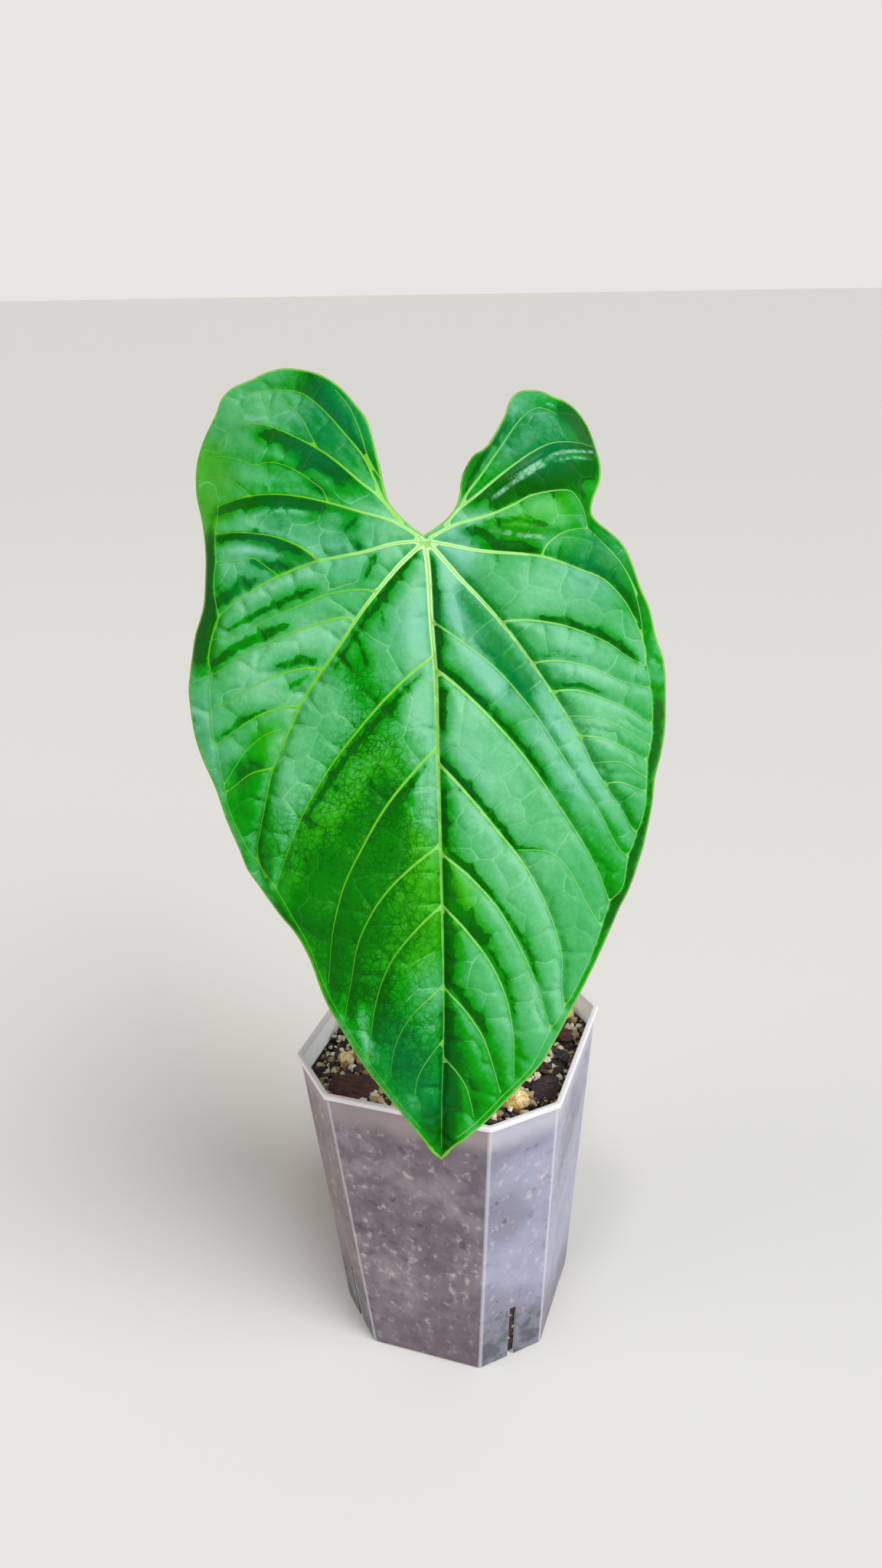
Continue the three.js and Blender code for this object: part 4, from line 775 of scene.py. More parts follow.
def bark_material(name, dark, light):
    """Layered bark, its fibres running along the chip."""
    s = Shader(name)
    fibres = s.noise(1.0, 5.0, stretch=(260, 900, 500))
    patches = s.noise(420.0, 4.0)
    colour = s.layers(dark, (s.fade(fibres, 0.3, 0.7), light),
                      (s.fade(patches, 0.55, 0.75, 0.0, 0.5), (40, 20, 18)))
    return s.finish(colour, 0.7, s.plus(fibres, patches), 0.6)


def pumice_material():
    s = Shader("pumice")
    pits = s.cells(900.0)
    patches = s.noise(300.0, 4.0)
    colour = s.layers((204, 168, 92), (s.fade(patches, 0.3, 0.7), (240, 220, 166)),
                      (s.fade(pits, 0.3, 0.05, 0.0, 0.6), (150, 112, 60)))
    return s.finish(colour, 0.9, s.plus(s.fade(pits, 0.0, 0.5), patches), 0.5)


# Meshes


def link(name, data):
    thing = bpy.data.objects.new(name, data)
    bpy.context.scene.collection.objects.link(thing)
    return thing


def declare(name, mesh, replaced, smooth):
    """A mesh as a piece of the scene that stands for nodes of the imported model."""
    mesh.polygons.foreach_set("use_smooth", [smooth] * len(mesh.polygons))
    piece = link(name, mesh)
    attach(piece, "root")
    if replaced:
        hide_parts(*replaced)
    return piece


def add_piece(name, shape, replaced, materials, looks=None, smooth=True):
    """A piece from its places in millimetres and its faces."""
    places, faces = shape
    mesh = bpy.data.meshes.new(name)
    mesh.from_pydata((np.asarray(places, float) * MM).tolist(), [], faces)
    for material in materials:
        mesh.materials.append(material)
    if looks is not None:
        mesh.polygons.foreach_set("material_index", np.asarray(looks, np.int32))
    mesh.update()
    return declare(name, mesh, replaced, smooth)


def set_values(piece, name, values):
    attribute = piece.data.attributes.new(name, "FLOAT", "POINT")
    attribute.data.foreach_set("value", np.asarray(values, np.float32))


def tube(path, radii, sides, step):
    """A round solid along a smooth path, in mm, with a radius for each point of the path."""
    path = np.array(path, float)
    line = spline(path, step)
    knots = np.linspace(0, 1, len(radii))
    reach = lengths_along(path)
    along = lengths_along(line)
    place = np.interp(along / along[-1], reach / reach[-1], knots)
    sizes = np.interp(place, knots, radii)
    tangents = np.gradient(line, axis=0)
    tangents /= np.linalg.norm(tangents, axis=1)[:, None]
    side = np.cross(tangents[0], [0.0, 1.0, 0.0])
    angles = 2 * math.pi * np.arange(sides) / sides
    places = []
    for centre, tangent, size in zip(line, tangents, sizes):
        side = side - tangent * side.dot(tangent)
        side /= np.linalg.norm(side)
        other = np.cross(tangent, side)
        for angle in angles:
            places.append(centre + size * (side * math.cos(angle) + other * math.sin(angle)))
    return places, ring_faces(sides, len(line))


def ring_faces(sides, rings):
    """Faces that join rings of equal size, and close the first and the last."""
    faces = []
    for i in range(rings - 1):
        for j in range(sides):
            a = i * sides + j
            b = i * sides + (j + 1) % sides
            faces.append((a, b, b + sides, a + sides))
    faces.append(tuple(reversed(range(sides))))
    faces.append(tuple(range((rings - 1) * sides, rings * sides)))
    return faces


def rings_shape(rings):
    return [p for ring in rings for p in ring], ring_faces(len(rings[0]), len(rings))


def join_shapes(shapes):
    """Several lists of places and faces as one."""
    places = []
    faces = []
    for more_places, more_faces in shapes:
        first = len(places)
        places.extend(more_places)
        faces.extend(tuple(first + k for k in face) for face in more_faces)
    return places, faces


# Blade


def blade_form(points):
    """Large form of the blade: how far it stands out in front of its joint's plane."""
    across, down = points.T
    below = BLADE_ARCH * (1 - ((down - BLADE_ARCH_MIDDLE) / BLADE_ARCH_REACH) ** 2)
    above = 3.8 + 0.09 * down - 0.0012 * down ** 2
    height = np.where(down > 0, below, above)
    height = height - BLADE_SIDE_DROP * (np.abs(across) / BLADE_HALF_WIDTH) ** 2.2
    height -= RIGHT_LOBE_DROP * smooth_step(22, 62, across) * smooth_step(0, 34, -down)
    height -= LEFT_LOBE_DROP * smooth_step(30, 75, -across) * smooth_step(5, 55, -down)
    return height + areas(points, BENDS)


def edge_fold(points):
    """How far the strips outside the edge veins fold back, and how steeply."""
    across, down = points.T
    drop = np.zeros(len(points))
    steepness = np.zeros(len(points))
    for vein, fold, above, side in EDGES:
        line = spline([above] + vein, EDGE_STEP)
        core = np.vstack([line, [(-side * 90, 240), (-side * 90, above[1])]])
        outside = ~is_inside(points, core) & (down > above[1]) & (across * side > -10)
        start = vein[0][1]
        slope = np.interp(down, *zip(*fold)) * smooth_step(start - 9, start + 5, down)
        slope *= outside * smooth_step(207, 195, down)
        distance = distance_to(points, line)
        drop += slope * (np.sqrt(distance ** 2 + 0.8) - math.sqrt(0.8))
        steepness += slope * smooth_step(0, 1.2, distance)
    return drop, steepness


def cell_centre(a, b, c):
    """Centre of the circle through three points."""
    b = b - a
    c = c - a
    d = 2 * (b.x * c.y - b.y * c.x)
    x = (c.y * b.length_squared - b.y * c.length_squared) / d
    y = (b.x * c.length_squared - c.x * b.length_squared) / d
    return np.array([a.x + x, a.y + y])


def net_lines(veins, outline, rng):
    """The fine net: the borders of cells that lie along both sides of each vein."""
    seeds = []
    for line in veins:
        for place in np.arange(0.5, len(line) - 1, NET_CELL / VEIN_STEP):
            i = int(place)
            along = line[i + 1] - line[i]
            across = np.array([-along[1], along[0]]) / np.linalg.norm(along)
            for side in (-1, 1):
                slide = rng.uniform(-0.3, 0.3) * NET_CELL
                seeds.append(line[i] + along * slide + across * side * NET_CELL * 0.48)
    low, high = outline.min(0), outline.max(0)
    for x in np.arange(low[0], high[0], NET_CELL):
        for y in np.arange(low[1], high[1], NET_CELL):
            seeds.append(np.array([x, y]) + rng.uniform(-0.4, 0.4, 2) * NET_CELL)
    kept = []
    nearest_allowed = (0.72 * NET_CELL) ** 2
    for seed in seeds:
        if all((seed[0] - k[0]) ** 2 + (seed[1] - k[1]) ** 2 > nearest_allowed for k in kept):
            kept.append(seed)
    places, _, faces, *_ = delaunay_2d_cdt([Vector(seed) for seed in kept], [], [], 0, 1e-5)
    centres = [cell_centre(*(places[k] for k in face)) for face in faces]
    beside = {}
    for f, face in enumerate(faces):
        for p, q in zip(face, face[1:] + face[:1]):
            beside.setdefault((min(p, q), max(p, q)), []).append(f)
    return [(centres[pair[0]], centres[pair[1]]) for pair in beside.values() if len(pair) == 2]


def net_paths(veins, outline, rng):
    """The net's lines as slightly wavy paths that stop short of the veins and the margin."""
    to_vein = finder(np.vstack(veins))
    to_margin = finder(outline)
    paths = []
    for start, end in net_lines(veins, outline, rng):
        length = np.linalg.norm(end - start)
        if length < 1.5 or length > 2.5 * NET_CELL:
            continue
        t = np.linspace(0, 1, max(int(length / VEIN_STEP), 2) + 1)[:, None]
        across = np.array([start[1] - end[1], end[0] - start[0]]) / length
        wave = np.sin(math.pi * t) * rng.uniform(-0.7, 0.7)
        wave = wave + np.sin(3 * math.pi * t) * rng.uniform(-0.25, 0.25)
        path = start + (end - start) * t + across * wave
        far = max(to_vein(p) for p in path)
        clear = np.array([to_margin(p) > 0.9 and to_vein(p) > 0.75 for p in path])
        path = path[is_inside(path, outline) & clear]
        gaps = np.linalg.norm(np.diff(path, axis=0), axis=1)
        if len(path) > 2 and far > 2.2 and gaps.max() < 2 * VEIN_STEP:
            paths.append(path)
    return paths


def finder(points):
    """A function that gives the distance from a point to the nearest of the given ones."""
    tree = kdtree.KDTree(len(points))
    for i, (x, y) in enumerate(points):
        tree.insert((x, y, 0), i)
    tree.balance()
    return lambda point: tree.find((*point, 0))[2]


def blade_triangles(outline, lines, rng):
    """Points and triangles that fill the outline, with edges along every line."""
    points = [p for p in outline]
    edges = [(i, (i + 1) % len(outline)) for i in range(len(outline))]
    for line in lines:
        first = len(points)
        points.extend(line)
        edges.extend((first + i, first + i + 1) for i in range(len(line) - 1))
    to_fixed = finder(np.array(points))
    low, high = outline.min(0), outline.max(0)
    for row, y in enumerate(np.arange(low[1], high[1], BLADE_GRID * math.sqrt(3) / 2)):
        xs = np.arange(low[0] + (row % 2) * BLADE_GRID / 2, high[0], BLADE_GRID)
        spots = np.column_stack([xs, np.full(len(xs), y)]) + rng.uniform(-0.12, 0.12, (len(xs), 2))
        spots = spots[is_inside(spots, outline)]
        points.extend(p for p in spots if to_fixed(p) > 0.55 * BLADE_GRID)
    flipped = [Vector((x, -y)) for x, y in points]
    places, _, faces, *_ = delaunay_2d_cdt(flipped, edges, [], 0, 1e-5)
    places = np.array([(p.x, -p.y) for p in places])
    faces = np.array(faces)
    faces = faces[is_inside(places[faces].mean(1), outline)]
    used, faces = np.unique(faces, return_inverse=True)
    return places[used], faces.reshape(-1, 3)


def two_sided(faces, count):
    """Faces of a thin sheet: the front, the back with its places count later, and the rim."""
    edges = {(p, q) for face in faces for p, q in zip(face, face[1:] + face[:1])}
    rim = [(q, p, p + count, q + count) for p, q in sorted(edges) if (q, p) not in edges]
    return faces + [[count + k for k in reversed(face)] for face in faces] + rim


def wrinkles(points):
    """Soft puckers between the veins, stronger in the lobes and near the joint."""
    across, down = points.T
    around = np.column_stack([np.hypot(across, down), np.arctan2(down, across)])
    in_lobes = np.exp(-((across + 45) / 34) ** 2 - ((down + 16) / 26) ** 2)
    in_lobes += 0.7 * np.exp(-((across - 44) / 22) ** 2 - ((down + 22) / 18) ** 2)
    even = waves(points, 11, 9, 3.0) + 0.4 * waves(points, 4, 4, 8.0)
    along_veins = waves(around, 13, 1 / 8, 5.0) + 0.35 * waves(around, 5, 1 / 17, 9.0)
    return even * 0.3 + along_veins * in_lobes * 1.3


def blade_relief(points, veins, thin, to_net, jag):
    """How far the blade swells between its veins, sinks along them and stands on its crests."""
    size = smooth_step(0, 40, np.hypot(*points.T))
    sunk = [(line, (0.25 + 0.4 * rib) * math.sqrt(1 + rib))
            for i, (line, (rib, _)) in enumerate(zip(veins, VEINS)) if i not in FOLDED_VEINS]
    folded = [(veins[i], 1) for i in FOLDED_VEINS]
    relief = 0.8 + 1.4 * size - (0.6 + 1.2 * size) * furrow(points, sunk, jag)
    relief += 1.3 * size * furrow(points, folded, jag)
    relief -= furrow(points, [(line, 0.45) for line in thin], 0.8 * jag)
    for lift, reach, line in CRESTS:
        relief += lift * bell(distance_to(points, spline(line)), reach)
    return relief + 0.16 * (1 - bell(to_net, 1.7))


def shade_strokes(points, jag):
    """Painted shade and sheen along lines, and the painted shade of the creases."""
    shade = np.zeros(len(points))
    crease_shade = np.zeros(len(points))
    skirt = np.zeros(len(points))
    for change, reach, line in SHADES:
        line = spline(line)
        if change > 0 or reach >= WIDEST_CREASE:
            shade += change * bell(distance_to(points, line), reach)
            continue
        taper = np.sqrt(np.linspace(0, 1, len(line)) * np.linspace(4, 0, len(line)))
        distance, width = nearest(points, [line], [reach * (0.4 + 0.6 * taper)])
        crease_shade = np.maximum(crease_shade, -change * np.clip(1.25 - distance / (1.6 * width * jag), 0, 1))
        skirt = np.maximum(skirt, -change * bell(distance, 1.2 + 2.2 * width))
    return shade - 0.5 * skirt, crease_shade


def blade_shade(points, faces, relief, fold, steepness, to_margin):
    """Painted shade and sheen from the way the relief leans to the light and on the folded strips."""
    across, down = points.T
    leaning = triangle_normals(np.column_stack([across, -down, relief]), faces)
    facing = leaning[:, 0] * LIGHT_LEAN[0] + leaning[:, 1] * LIGHT_LEAN[1]
    shade = 0.56 + 0.5 * np.clip(facing, -0.4, 0.4)
    at_rim = smooth_step(3.2, 1.0, to_margin)
    shade -= 0.8 * smooth_step(0.3, 0.95, steepness) * (1 - 0.6 * at_rim)
    return shade + 0.35 * waves(points, 8, 3, 6.0) * smooth_step(0.3, 1.6, fold)


def make_blade():
    """The leaf: a face with relief, a back with ribs and the joint's boss, and a thin rim."""
    rng = np.random.default_rng(BLADE_SEED)
    margins = [spline(line, MARGIN_STEP) for line in (LEFT_MARGIN, RIGHT_MARGIN)]
    outline = np.vstack([margins[0], margins[1][1:-1][::-1]])
    veins = [spline(line) for _, line in VEINS]
    half_widths = [0.15 + (0.03 + 0.34 * rib) * np.linspace(1, 0, len(line)) ** 1.2
                   for (rib, _), line in zip(VEINS, veins)]
    thin = [spline(line) for line in FINE_VEINS + [LEFT_EDGE_VEIN, RIGHT_EDGE_VEIN]]
    net = net_paths(veins + thin, outline, rng)
    points, faces = blade_triangles(outline, veins + thin + net, rng)
    strengths = rng.uniform(0.0, 0.01, len(net))

    to_vein, width = nearest(points, veins, half_widths)
    to_net, strength = nearest(points, net, [np.full(len(n), s) for n, s in zip(net, strengths)])
    to_margin = distance_to(points, np.vstack([outline, outline[:1]]))
    jag = 0.8 + 0.4 * waves(points, 2.2, 2.2, 4.0) + bell(to_net, 0.8)
    relief = blade_relief(points, veins, thin, to_net, jag)
    relief += wrinkles(points) * smooth_step(0.5, 4, np.minimum(to_vein, to_margin))
    fold, steepness = edge_fold(points)
    shade, crease_shade = shade_strokes(points, jag)
    shade += blade_shade(points, faces, relief, fold, steepness, to_margin)

    across, down = points.T
    front = np.column_stack([across, -down, blade_form(points) - fold + relief])
    ribs = np.interp(width, (0.25, 1.5), (0.15, 2.4)) * bell(to_vein, 1.3 * width)
    thickness = BLADE_THICKNESS + ribs * smooth_step(0.3, 3, to_margin)
    boss = BOSS_HEIGHT * np.exp(-(np.hypot(*(points - BOSS_CENTRE).T) / BOSS_RADIUS) ** 4)
    back = front - triangle_normals(front, faces) * thickness[:, None]
    back[:, 2] -= boss
    all_faces = two_sided(faces.tolist(), len(points))
    looks = np.zeros(len(all_faces))
    looks[len(faces):2 * len(faces)] = 1
    places = [blade_point(*p) for p in np.vstack([front, back])]
    leaf = add_piece("leaf", (places, all_faces), ["leaf_blade"],
                     [leaf_face_material(), leaf_back_material()], looks)

    glints = [spline(line) for _, line in GLINTS]
    glint_widths = [np.full(len(line), half) for (half, _), line in zip(GLINTS, glints)]
    to_glint, half_glint = nearest(points, glints, glint_widths)
    values = {
        "vein": np.minimum(to_vein / width, 0.55 + distance_to(points, *thin) / 0.42),
        "vein_width": width, "net": to_net, "net_strength": 0.1 + 42 * strength,
        "margin": to_margin, "across": across, "tint_and_sheen": areas(points, TINTS_AND_SHEENS), "shade": shade,
        "crease_shade": crease_shade, "rough": areas(points, ROUGH_AREAS), "glint": to_glint - half_glint,
    }
    for name, value in values.items():
        set_values(leaf, name, np.concatenate([value, value]))


BLADE_ACROSS = Vector((math.cos(FACING_ANGLE), math.sin(FACING_ANGLE), 0))
BLADE_FRONT = Vector((math.sin(FACING_ANGLE), -math.cos(FACING_ANGLE), 0))
BLADE_OUT = BLADE_FRONT * math.cos(BLADE_TILT) + Vector((0, 0, math.sin(BLADE_TILT)))
BLADE_UP = BLADE_FRONT * -math.sin(BLADE_TILT) + Vector((0, 0, math.cos(BLADE_TILT)))


def blade_point(across, up, out):
    return JOINT + BLADE_ACROSS * across + BLADE_UP * up + BLADE_OUT * out


# Stalk, stem and bract


def make_stalk():
    x, y = BOSS_CENTRE
    floor = float(blade_form(np.array(BOSS_CENTRE))) - BOSS_DEPTH
    end = blade_point(x, -y, floor)
    behind = blade_point(x, -y, floor - STALK_KNEE_DEPTH)
    path = [
        (0, 3, STEM_TOP - 4), (0, 3.5, 165), (0.5, 5, 200), (1, 6, 250), (0.5, 5, 300),
        (-0.5, 3, 325), (behind.x - 0.8, behind.y + 3, behind.z - 6.5), tuple(behind), tuple(end),
    ]
    radii = [
        STALK_BASE_RADIUS * 1.1, STALK_BASE_RADIUS * 0.85, STALK_RADIUS * 1.1, STALK_RADIUS,
        STALK_RADIUS, STALK_RADIUS * 1.05, STALK_KNEE_RADIUS, STALK_KNEE_RADIUS, STALK_RADIUS,
    ]
    add_piece("leaf_stalk", tube(path, radii, 28, 1.6), ["petiole"], [stalk_material()])


def make_stem():
    """The stem with its ring scars, and roots that bend down into the mix."""
    height = STEM_TOP - STEM_FOOT
    path = [(0, STEM_BEHIND + t ** 5, STEM_FOOT + height * t) for t in (0, 0.33, 0.6, 0.82, 1)]
    shapes = [tube(path, [STEM_RADIUS * k for k in (0.52, 0.74, 1, 0.95, 0.77)], 28, 1.0)]
    for i in range(ROOT_COUNT):
        angle = 2 * math.pi * i / ROOT_COUNT + 0.4
        reach = ROOT_REACH + 4 * math.sin(i * 2.1)
        path = [(reach * part * math.cos(angle), STEM_BEHIND + reach * part * math.sin(angle),
                 ROOT_FOOT + rise)
                for part, rise in ((0.13, 17), (0.45, 18.5), (0.8, 15), (1, 7), (1.05, 0))]
        shapes.append(tube(path, [ROOT_RADIUS * k for k in (1, 1, 0.95, 0.8, 0.5)], 14, 1.0))
    add_piece("stem_and_roots", join_shapes(shapes), ["stem_base"], [stem_material()])


def make_bract():
    """A thin bent sheet around the stem, narrower and crumpled towards its tip."""
    rows = 30
    columns = 22
    inner = STEM_RADIUS + 1.2 * GAP
    places = []
    for offset in (CATAPHYLL_THICKNESS, 0):
        for i in range(rows + 1):
            t = i / rows
            half_span = CATAPHYLL_HALF_SPAN * math.sqrt(max(1 - t, 0.01)) * (0.8 + 0.4 * t)
            for j in range(columns + 1):
                turn = 2 * j / columns - 1
                angle = half_span * turn + CATAPHYLL_MIDDLE_ANGLE
                crumple = 0.35 * noise.noise((turn * 3, t * 7, 2.0)) * t
                radius = inner + offset + CATAPHYLL_FLARE * t * t + crumple
                places.append((radius * math.cos(angle), STEM_BEHIND + 0.5 + radius * math.sin(angle),
                               CATAPHYLL_FOOT + CATAPHYLL_LENGTH * t))
    width = columns + 1
    grid = [(i * width + j, i * width + j + 1, (i + 1) * width + j + 1, (i + 1) * width + j)
            for i in range(rows) for j in range(columns)]
    faces = two_sided(grid, width * (rows + 1))
    fibres = streaked_material("dry_bract", (1400, 1400, 60), (96, 70, 42), (178, 148, 104), 0.8, 0.3)
    add_piece("dry_bract", (places, faces), ["cataphyll"], [fibres])


# Pot


def pot_half_width(z):
    return POT_BASE_WIDTH / 2 + POT_SLOPE * z


def cut_square(half_width, inset):
    """The square with cut corners, moved in by a distance on every side."""
    h = half_width - inset
    k = h - POT_CORNER_CUT + inset * (2 - math.sqrt(2))
    return [(k, -h), (h, -k), (h, k), (k, h), (-k, h), (-h, k), (-h, -k), (-k, -h)]


def rounded_ring(half_width, inset, radius, z):
    """The cut square with its eight corners rounded."""
    corners = [Vector(p) for p in cut_square(half_width, inset)]
    half_turn = math.radians(22.5)
    ring = []
    for i, corner in enumerate(corners):
        before = (corners[i - 1] - corner).normalized()
        after = (corners[(i + 1) % 8] - corner).normalized()
        reach = radius * math.tan(half_turn)
        centre = corner + (before + after).normalized() * radius / math.cos(half_turn)
        start = corner + before * reach - centre
        for k in range(CORNER_POINTS):
            spot = centre + Matrix.Rotation(2 * half_turn * k / (CORNER_POINTS - 1), 2) @ start
            ring.append((spot.x, spot.y, z))
    return ring


def pot_cutters():
    """A slit in each cut corner and a ring of drain holes."""
    middle = (2 * pot_half_width(0) - POT_CORNER_CUT) / math.sqrt(2)
    half = SLIT_WIDTH / 2
    slit = rings_shape([[(middle - 6, -half, z), (middle + 6, -half, z), (middle + 6, half, z),
                         (middle - 6, half, z)] for z in (-2, SLIT_HEIGHT)])
    shapes = []
    for i in range(4):
        turn = Matrix.Rotation(math.radians(45 + 90 * i), 3, "Z")
        shapes.append(([turn @ Vector(p) for p in slit[0]], slit[1]))
    for i in range(DRAIN_HOLE_COUNT):
        angle = 2 * math.pi * i / DRAIN_HOLE_COUNT
        x = DRAIN_RING_RADIUS * math.cos(angle)
        y = DRAIN_RING_RADIUS * math.sin(angle)
        circle = [(x + DRAIN_HOLE_RADIUS * math.cos(math.pi * k / 12),
                   y + DRAIN_HOLE_RADIUS * math.sin(math.pi * k / 12)) for k in range(24)]
        shapes.append(rings_shape([[(*p, z) for p in circle] for z in (-3, 5)]))
    return join_shapes(shapes)


def make_pot():
    """Walls, floor and lip from rings up the outside and down the inside, then cut."""
    top = pot_half_width(POT_HEIGHT)
    lip_foot = POT_HEIGHT - LIP_HEIGHT
    outside = [(0, 0.7), (0.7, 0)] + [(z, 0) for z in np.linspace(12, lip_foot - LIP_OVERHANG, 9)]
    lip = [
        (-0.8 * LIP_OVERHANG, lip_foot), (-LIP_OVERHANG, lip_foot + 0.4),
        (-LIP_OVERHANG, POT_HEIGHT - 0.4), (-0.7 * LIP_OVERHANG, POT_HEIGHT),
        (0.75 * POT_WALL, POT_HEIGHT), (POT_WALL, POT_HEIGHT - 0.4),
    ]
    inside = [(z, POT_WALL) for z in np.linspace(POT_HEIGHT - 3, POT_FLOOR, 8)]
    rings = [rounded_ring(pot_half_width(z), inset, POT_EDGE_RADIUS, z) for z, inset in outside]
    rings += [rounded_ring(top, inset, POT_EDGE_RADIUS, z) for inset, z in lip]
    rings += [rounded_ring(pot_half_width(z), inset, POT_EDGE_RADIUS, z) for z, inset in inside]
    pot = add_piece("frosted_pot", rings_shape(rings), ["pot"], [pot_material()])
    cut_places, cut_faces = pot_cutters()
    cutter_mesh = bpy.data.meshes.new("cutter")
    cutter_mesh.from_pydata([Vector(p) * MM for p in cut_places], [], cut_faces)
    cutter = link("cutter", cutter_mesh)
    cut = pot.modifiers.new("cut", "BOOLEAN")
    cut.operation = "DIFFERENCE"
    cut.solver = "EXACT"
    cut.object = cutter
    whole = pot.evaluated_get(bpy.context.evaluated_depsgraph_get())
    mesh = bpy.data.meshes.new_from_object(whole)
    pot.modifiers.clear()
    pot.data = mesh
    bpy.data.objects.remove(cutter)
    mesh.polygons.foreach_set("use_smooth", [True] * len(mesh.polygons))
    mesh.set_sharp_from_angle(angle=math.radians(32))


# Growing mix


def mix_height(x, y):
    mound = MIX_MOUND * math.exp(-(x * x + y * y) / MOUND_REACH ** 2)
    hollows = 0.9 * math.sin(x / 8 + 1) * math.cos(y / 9) + 0.6 * math.sin(x / 5 + y / 6)
    return MIX_TOP + mound + hollows


def in_pot(x, y, margin):
    """True where a spot on the mix is at least the margin inside the pot's wall."""
    h = pot_half_width(MIX_TOP) - POT_WALL - GAP - margin
    return max(abs(x), abs(y)) < h and abs(x) + abs(y) < 2 * h - POT_CORNER_CUT


def make_mix():
    """The body of the mix, rough on top and against the wall."""
    rings = []
    for z in np.linspace(POT_FLOOR + GAP, MIX_TOP, MIX_SIDE_RINGS):
        rings.append(rounded_ring(pot_half_width(z), POT_WALL + GAP, 1.2, z))
    outermost = rings[-1]
    for share in np.linspace(0.97, 0.03, MIX_TOP_RINGS):
        spots = [(x * share, y * share) for x, y, _ in outermost]
        rings.append([(x, y, mix_height(x, y) + 0.7 * noise.noise((x / 2.2, y / 2.2, 1.0)) - 0.3)
                      for x, y in spots])
    add_piece("mix_body", rings_shape(rings), ["substrate"], [mix_material()])


def lump_shapes(rng, proportions):
    """Broken lumps about 1 across, each with its own flat facets."""
    shapes = []
    for _ in range(LUMP_KINDS):
        ball = bmesh.new()
        bmesh.ops.create_icosphere(ball, subdivisions=2, radius=0.5)
        places = np.array([v.co for v in ball.verts])
        faces = [[v.index for v in face.verts] for face in ball.faces]
        ball.free()
        for _ in range(LUMP_FACETS):
            way = rng.normal(size=3)
            way /= np.linalg.norm(way)
            past = np.maximum(places @ way - rng.uniform(0.28, 0.42), 0)
            places = places - past[:, None] * way
        places *= 1 + rng.uniform(-0.08, 0.08, (len(places), 1))
        shapes.append((places * np.array(proportions), faces))
    return shapes


def make_granules(name, slot, spacing, sizes, proportions, rise, colours, roughness, seed):
    """Small pieces all over the top of the mix, as one piece of the scene."""
    rng = np.random.default_rng(seed)
    lumps = lump_shapes(rng, proportions)
    steps = np.arange(-POT_TOP_WIDTH / 2, POT_TOP_WIDTH / 2, spacing)
    shapes = []
    shades = []
    for spot in [(gx, gy) for gx in steps for gy in steps]:
        x, y = np.array(spot) + rng.uniform(-0.5, 0.5, 2) * spacing
        size = sizes[0] + (sizes[1] - sizes[0]) * rng.random() ** 2
        if not in_pot(x, y, size * 0.5) or math.hypot(x, y - STEM_BEHIND) < STEM_RADIUS + 1:
            continue
        lump, faces = lumps[rng.integers(len(lumps))]
        lean = Matrix.Rotation(rng.uniform(-0.6, 0.6), 3, "X")
        lean = lean @ Matrix.Rotation(rng.uniform(0, 6.3), 3, "Z")
        turn = Matrix.Rotation(rng.uniform(0, 6.3), 3, "Z") @ lean
        z = mix_height(x, y) + size * rng.uniform(*rise)
        shapes.append(((lump * size) @ np.array(turn).T + np.array([x, y, z]), faces))
        shades.extend([rng.random()] * len(lump))
    material = granule_material(name, *colours, roughness)
    piece = add_piece(name, join_shapes(shapes), [], [material], smooth=False)
    set_values(piece, "shade", shades)


def make_loose_piece(node, cuts, roughness, grain, smooth, material, seed):
    """A finer copy of one large loose piece: the same lump with a broken, uneven surface."""
    lump = bmesh.new()
    lump.from_mesh(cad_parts[node].data)
    bmesh.ops.remove_doubles(lump, verts=lump.verts, dist=0.01 * MM)
    bmesh.ops.subdivide_edges(lump, edges=lump.edges, cuts=cuts, use_grid_fill=True, smooth=0.25)
    lump.normal_update()
    shifts = []
    for vertex in lump.verts:
        spot = vertex.co / MM
        wave = noise.noise(spot / grain + Vector((seed, 0, 0))) + 0.5 * noise.noise(spot * 2.3 / grain)
        shifts.append(vertex.normal * wave * roughness * MM)
    for vertex, shift in zip(lump.verts, shifts):
        vertex.co += shift
    bmesh.ops.triangulate(lump, faces=lump.faces)
    mesh = bpy.data.meshes.new(node)
    lump.to_mesh(mesh)
    lump.free()
    mesh.materials.append(material)
    declare(node + "_fine", mesh, [node], smooth)


def make_growing_mix():
    make_mix()
    for i, granules in enumerate(GRANULES):
        make_granules(*granules, MIX_SEED + i)
    barks = [bark_material("red_bark", (48, 24, 24), (96, 54, 48)),
             bark_material("purple_bark", (36, 22, 30), (74, 48, 54))]
    charcoal = streaked_material("charcoal", (900, 300, 900), (14, 14, 18), (44, 44, 50), 0.5, 0.4)
    looks = {"bark": barks, "pumice": [pumice_material()], "charcoal": [charcoal]}
    for node, slot, count, seed, cuts, roughness, grain, smooth in LOOSE_PIECES:
        for i in range(count):
            material = looks[slot][i % len(looks[slot])]
            make_loose_piece(f"{node}_{i + 1}", cuts, roughness, grain, smooth, material,
                             seed + i)


# Stage, lights and camera


def make_camera():
    forward = Vector((math.sin(CAMERA_YAW) * math.cos(CAMERA_PITCH),
                      math.cos(CAMERA_YAW) * math.cos(CAMERA_PITCH), -math.sin(CAMERA_PITCH)))
    level = Vector((math.cos(CAMERA_YAW), -math.sin(CAMERA_YAW), 0))
    upright = level.cross(forward)
    right = level * math.cos(CAMERA_ROLL) + upright * math.sin(CAMERA_ROLL)
    up = upright * math.cos(CAMERA_ROLL) - level * math.sin(CAMERA_ROLL)
    camera = bpy.data.cameras.new("camera")
    camera.sensor_fit = "VERTICAL"
    camera.sensor_height = 36
    camera.lens = CAMERA_LENS
    holder = link("camera", camera)
    turn = Matrix((right, up, -forward)).transposed()
    holder.matrix_world = Matrix.Translation(CAMERA_SPOT) @ turn.to_4x4()
    bpy.context.scene.camera = holder


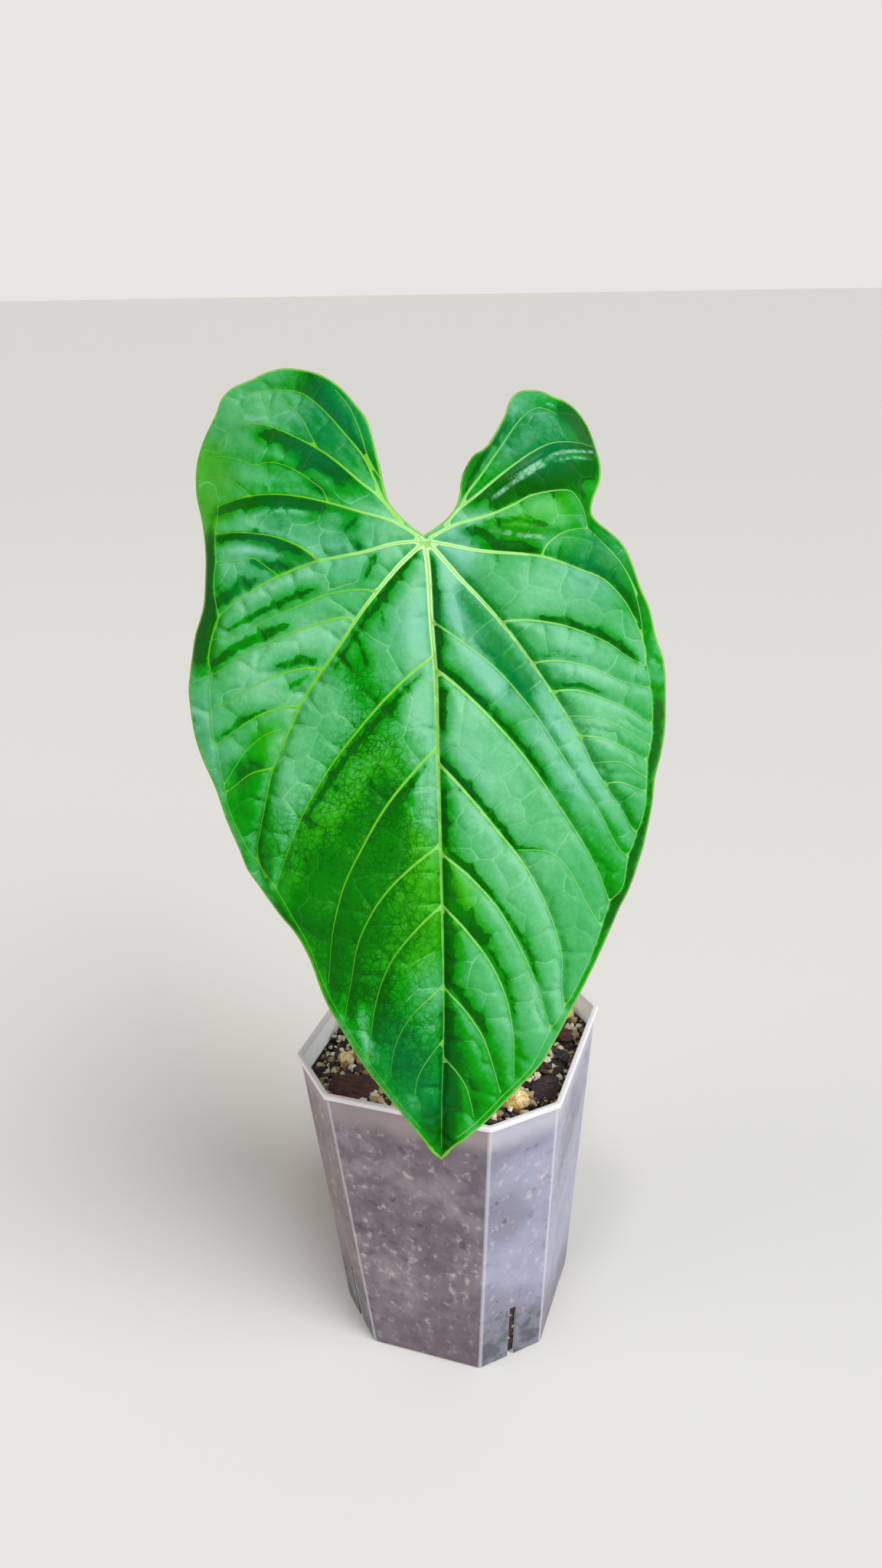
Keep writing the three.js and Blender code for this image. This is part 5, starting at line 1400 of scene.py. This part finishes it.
def add_light(name, kind, spot, target, energy, colour, **settings):
    light = bpy.data.lights.new(name, kind)
    for setting, value in settings.items():
        setattr(light, setting, value)
    light.energy = energy
    light.color = colour
    holder = link(name, light)
    holder.location = spot
    holder.rotation_euler = (Vector(target) - Vector(spot)).to_track_quat("-Z", "Y").to_euler()


def make_world():
    """Even light, brighter near the horizon than above it."""
    world = bpy.data.worlds.new("studio")
    world.use_nodes = True
    tree = world.node_tree
    way = tree.nodes.new("ShaderNodeTexCoord")
    height = tree.nodes.new("ShaderNodeSeparateXYZ")
    shade = tree.nodes.new("ShaderNodeMapRange")
    shade.interpolation_type = "SMOOTHSTEP"
    shade.inputs["From Min"].default_value = 0.14
    shade.inputs["From Max"].default_value = 0.4
    shade.inputs["To Min"].default_value = WORLD_AT_HORIZON
    shade.inputs["To Max"].default_value = WORLD_ABOVE
    background = tree.nodes["Background"]
    background.inputs["Color"].default_value = (1.0, 0.99, 0.97, 1.0)
    tree.links.new(way.outputs["Generated"], height.inputs["Vector"])
    tree.links.new(height.outputs["Z"], shade.inputs["Value"])
    tree.links.new(shade.outputs["Result"], background.inputs["Strength"])
    bpy.context.scene.world = world


def make_stage():
    mesh = bpy.data.meshes.new("floor")
    mesh.from_pydata([(-9, -9, 0), (9, -9, 0), (9, 9, 0), (-9, 9, 0)], [], [(0, 1, 2, 3)])
    mesh.materials.append(Shader("pale_floor").finish((212, 209, 204), 0.85))
    link("floor", mesh)
    make_world()
    bpy.context.scene.view_settings.view_transform = "Standard"
    bpy.context.scene.view_settings.look = "None"
    middle = (0, 0, 0.25)
    add_light("key", "SUN", (0.74, -0.3, 0.75), (0, 0, 0), 2.7, (0.97, 0.99, 1.0),
              angle=math.radians(40))
    add_light("ceiling", "SUN", (0.1, -0.4, 1.3), (0, 0, 0), 0.5, (1.0, 1.0, 1.0),
              angle=math.radians(6))
    add_light("window", "AREA", (1.1, -1.0, 0.8), middle, 7, (0.68, 0.84, 1.0), shape="DISK", size=1.2)
    add_light("fill", "AREA", (-1.2, -1.0, 1.0), middle, 6, (1.0, 0.95, 0.86), shape="DISK", size=1.2)


make_stage()
make_camera()
make_blade()
make_stalk()
make_stem()
make_bract()
make_pot()
make_growing_mix()
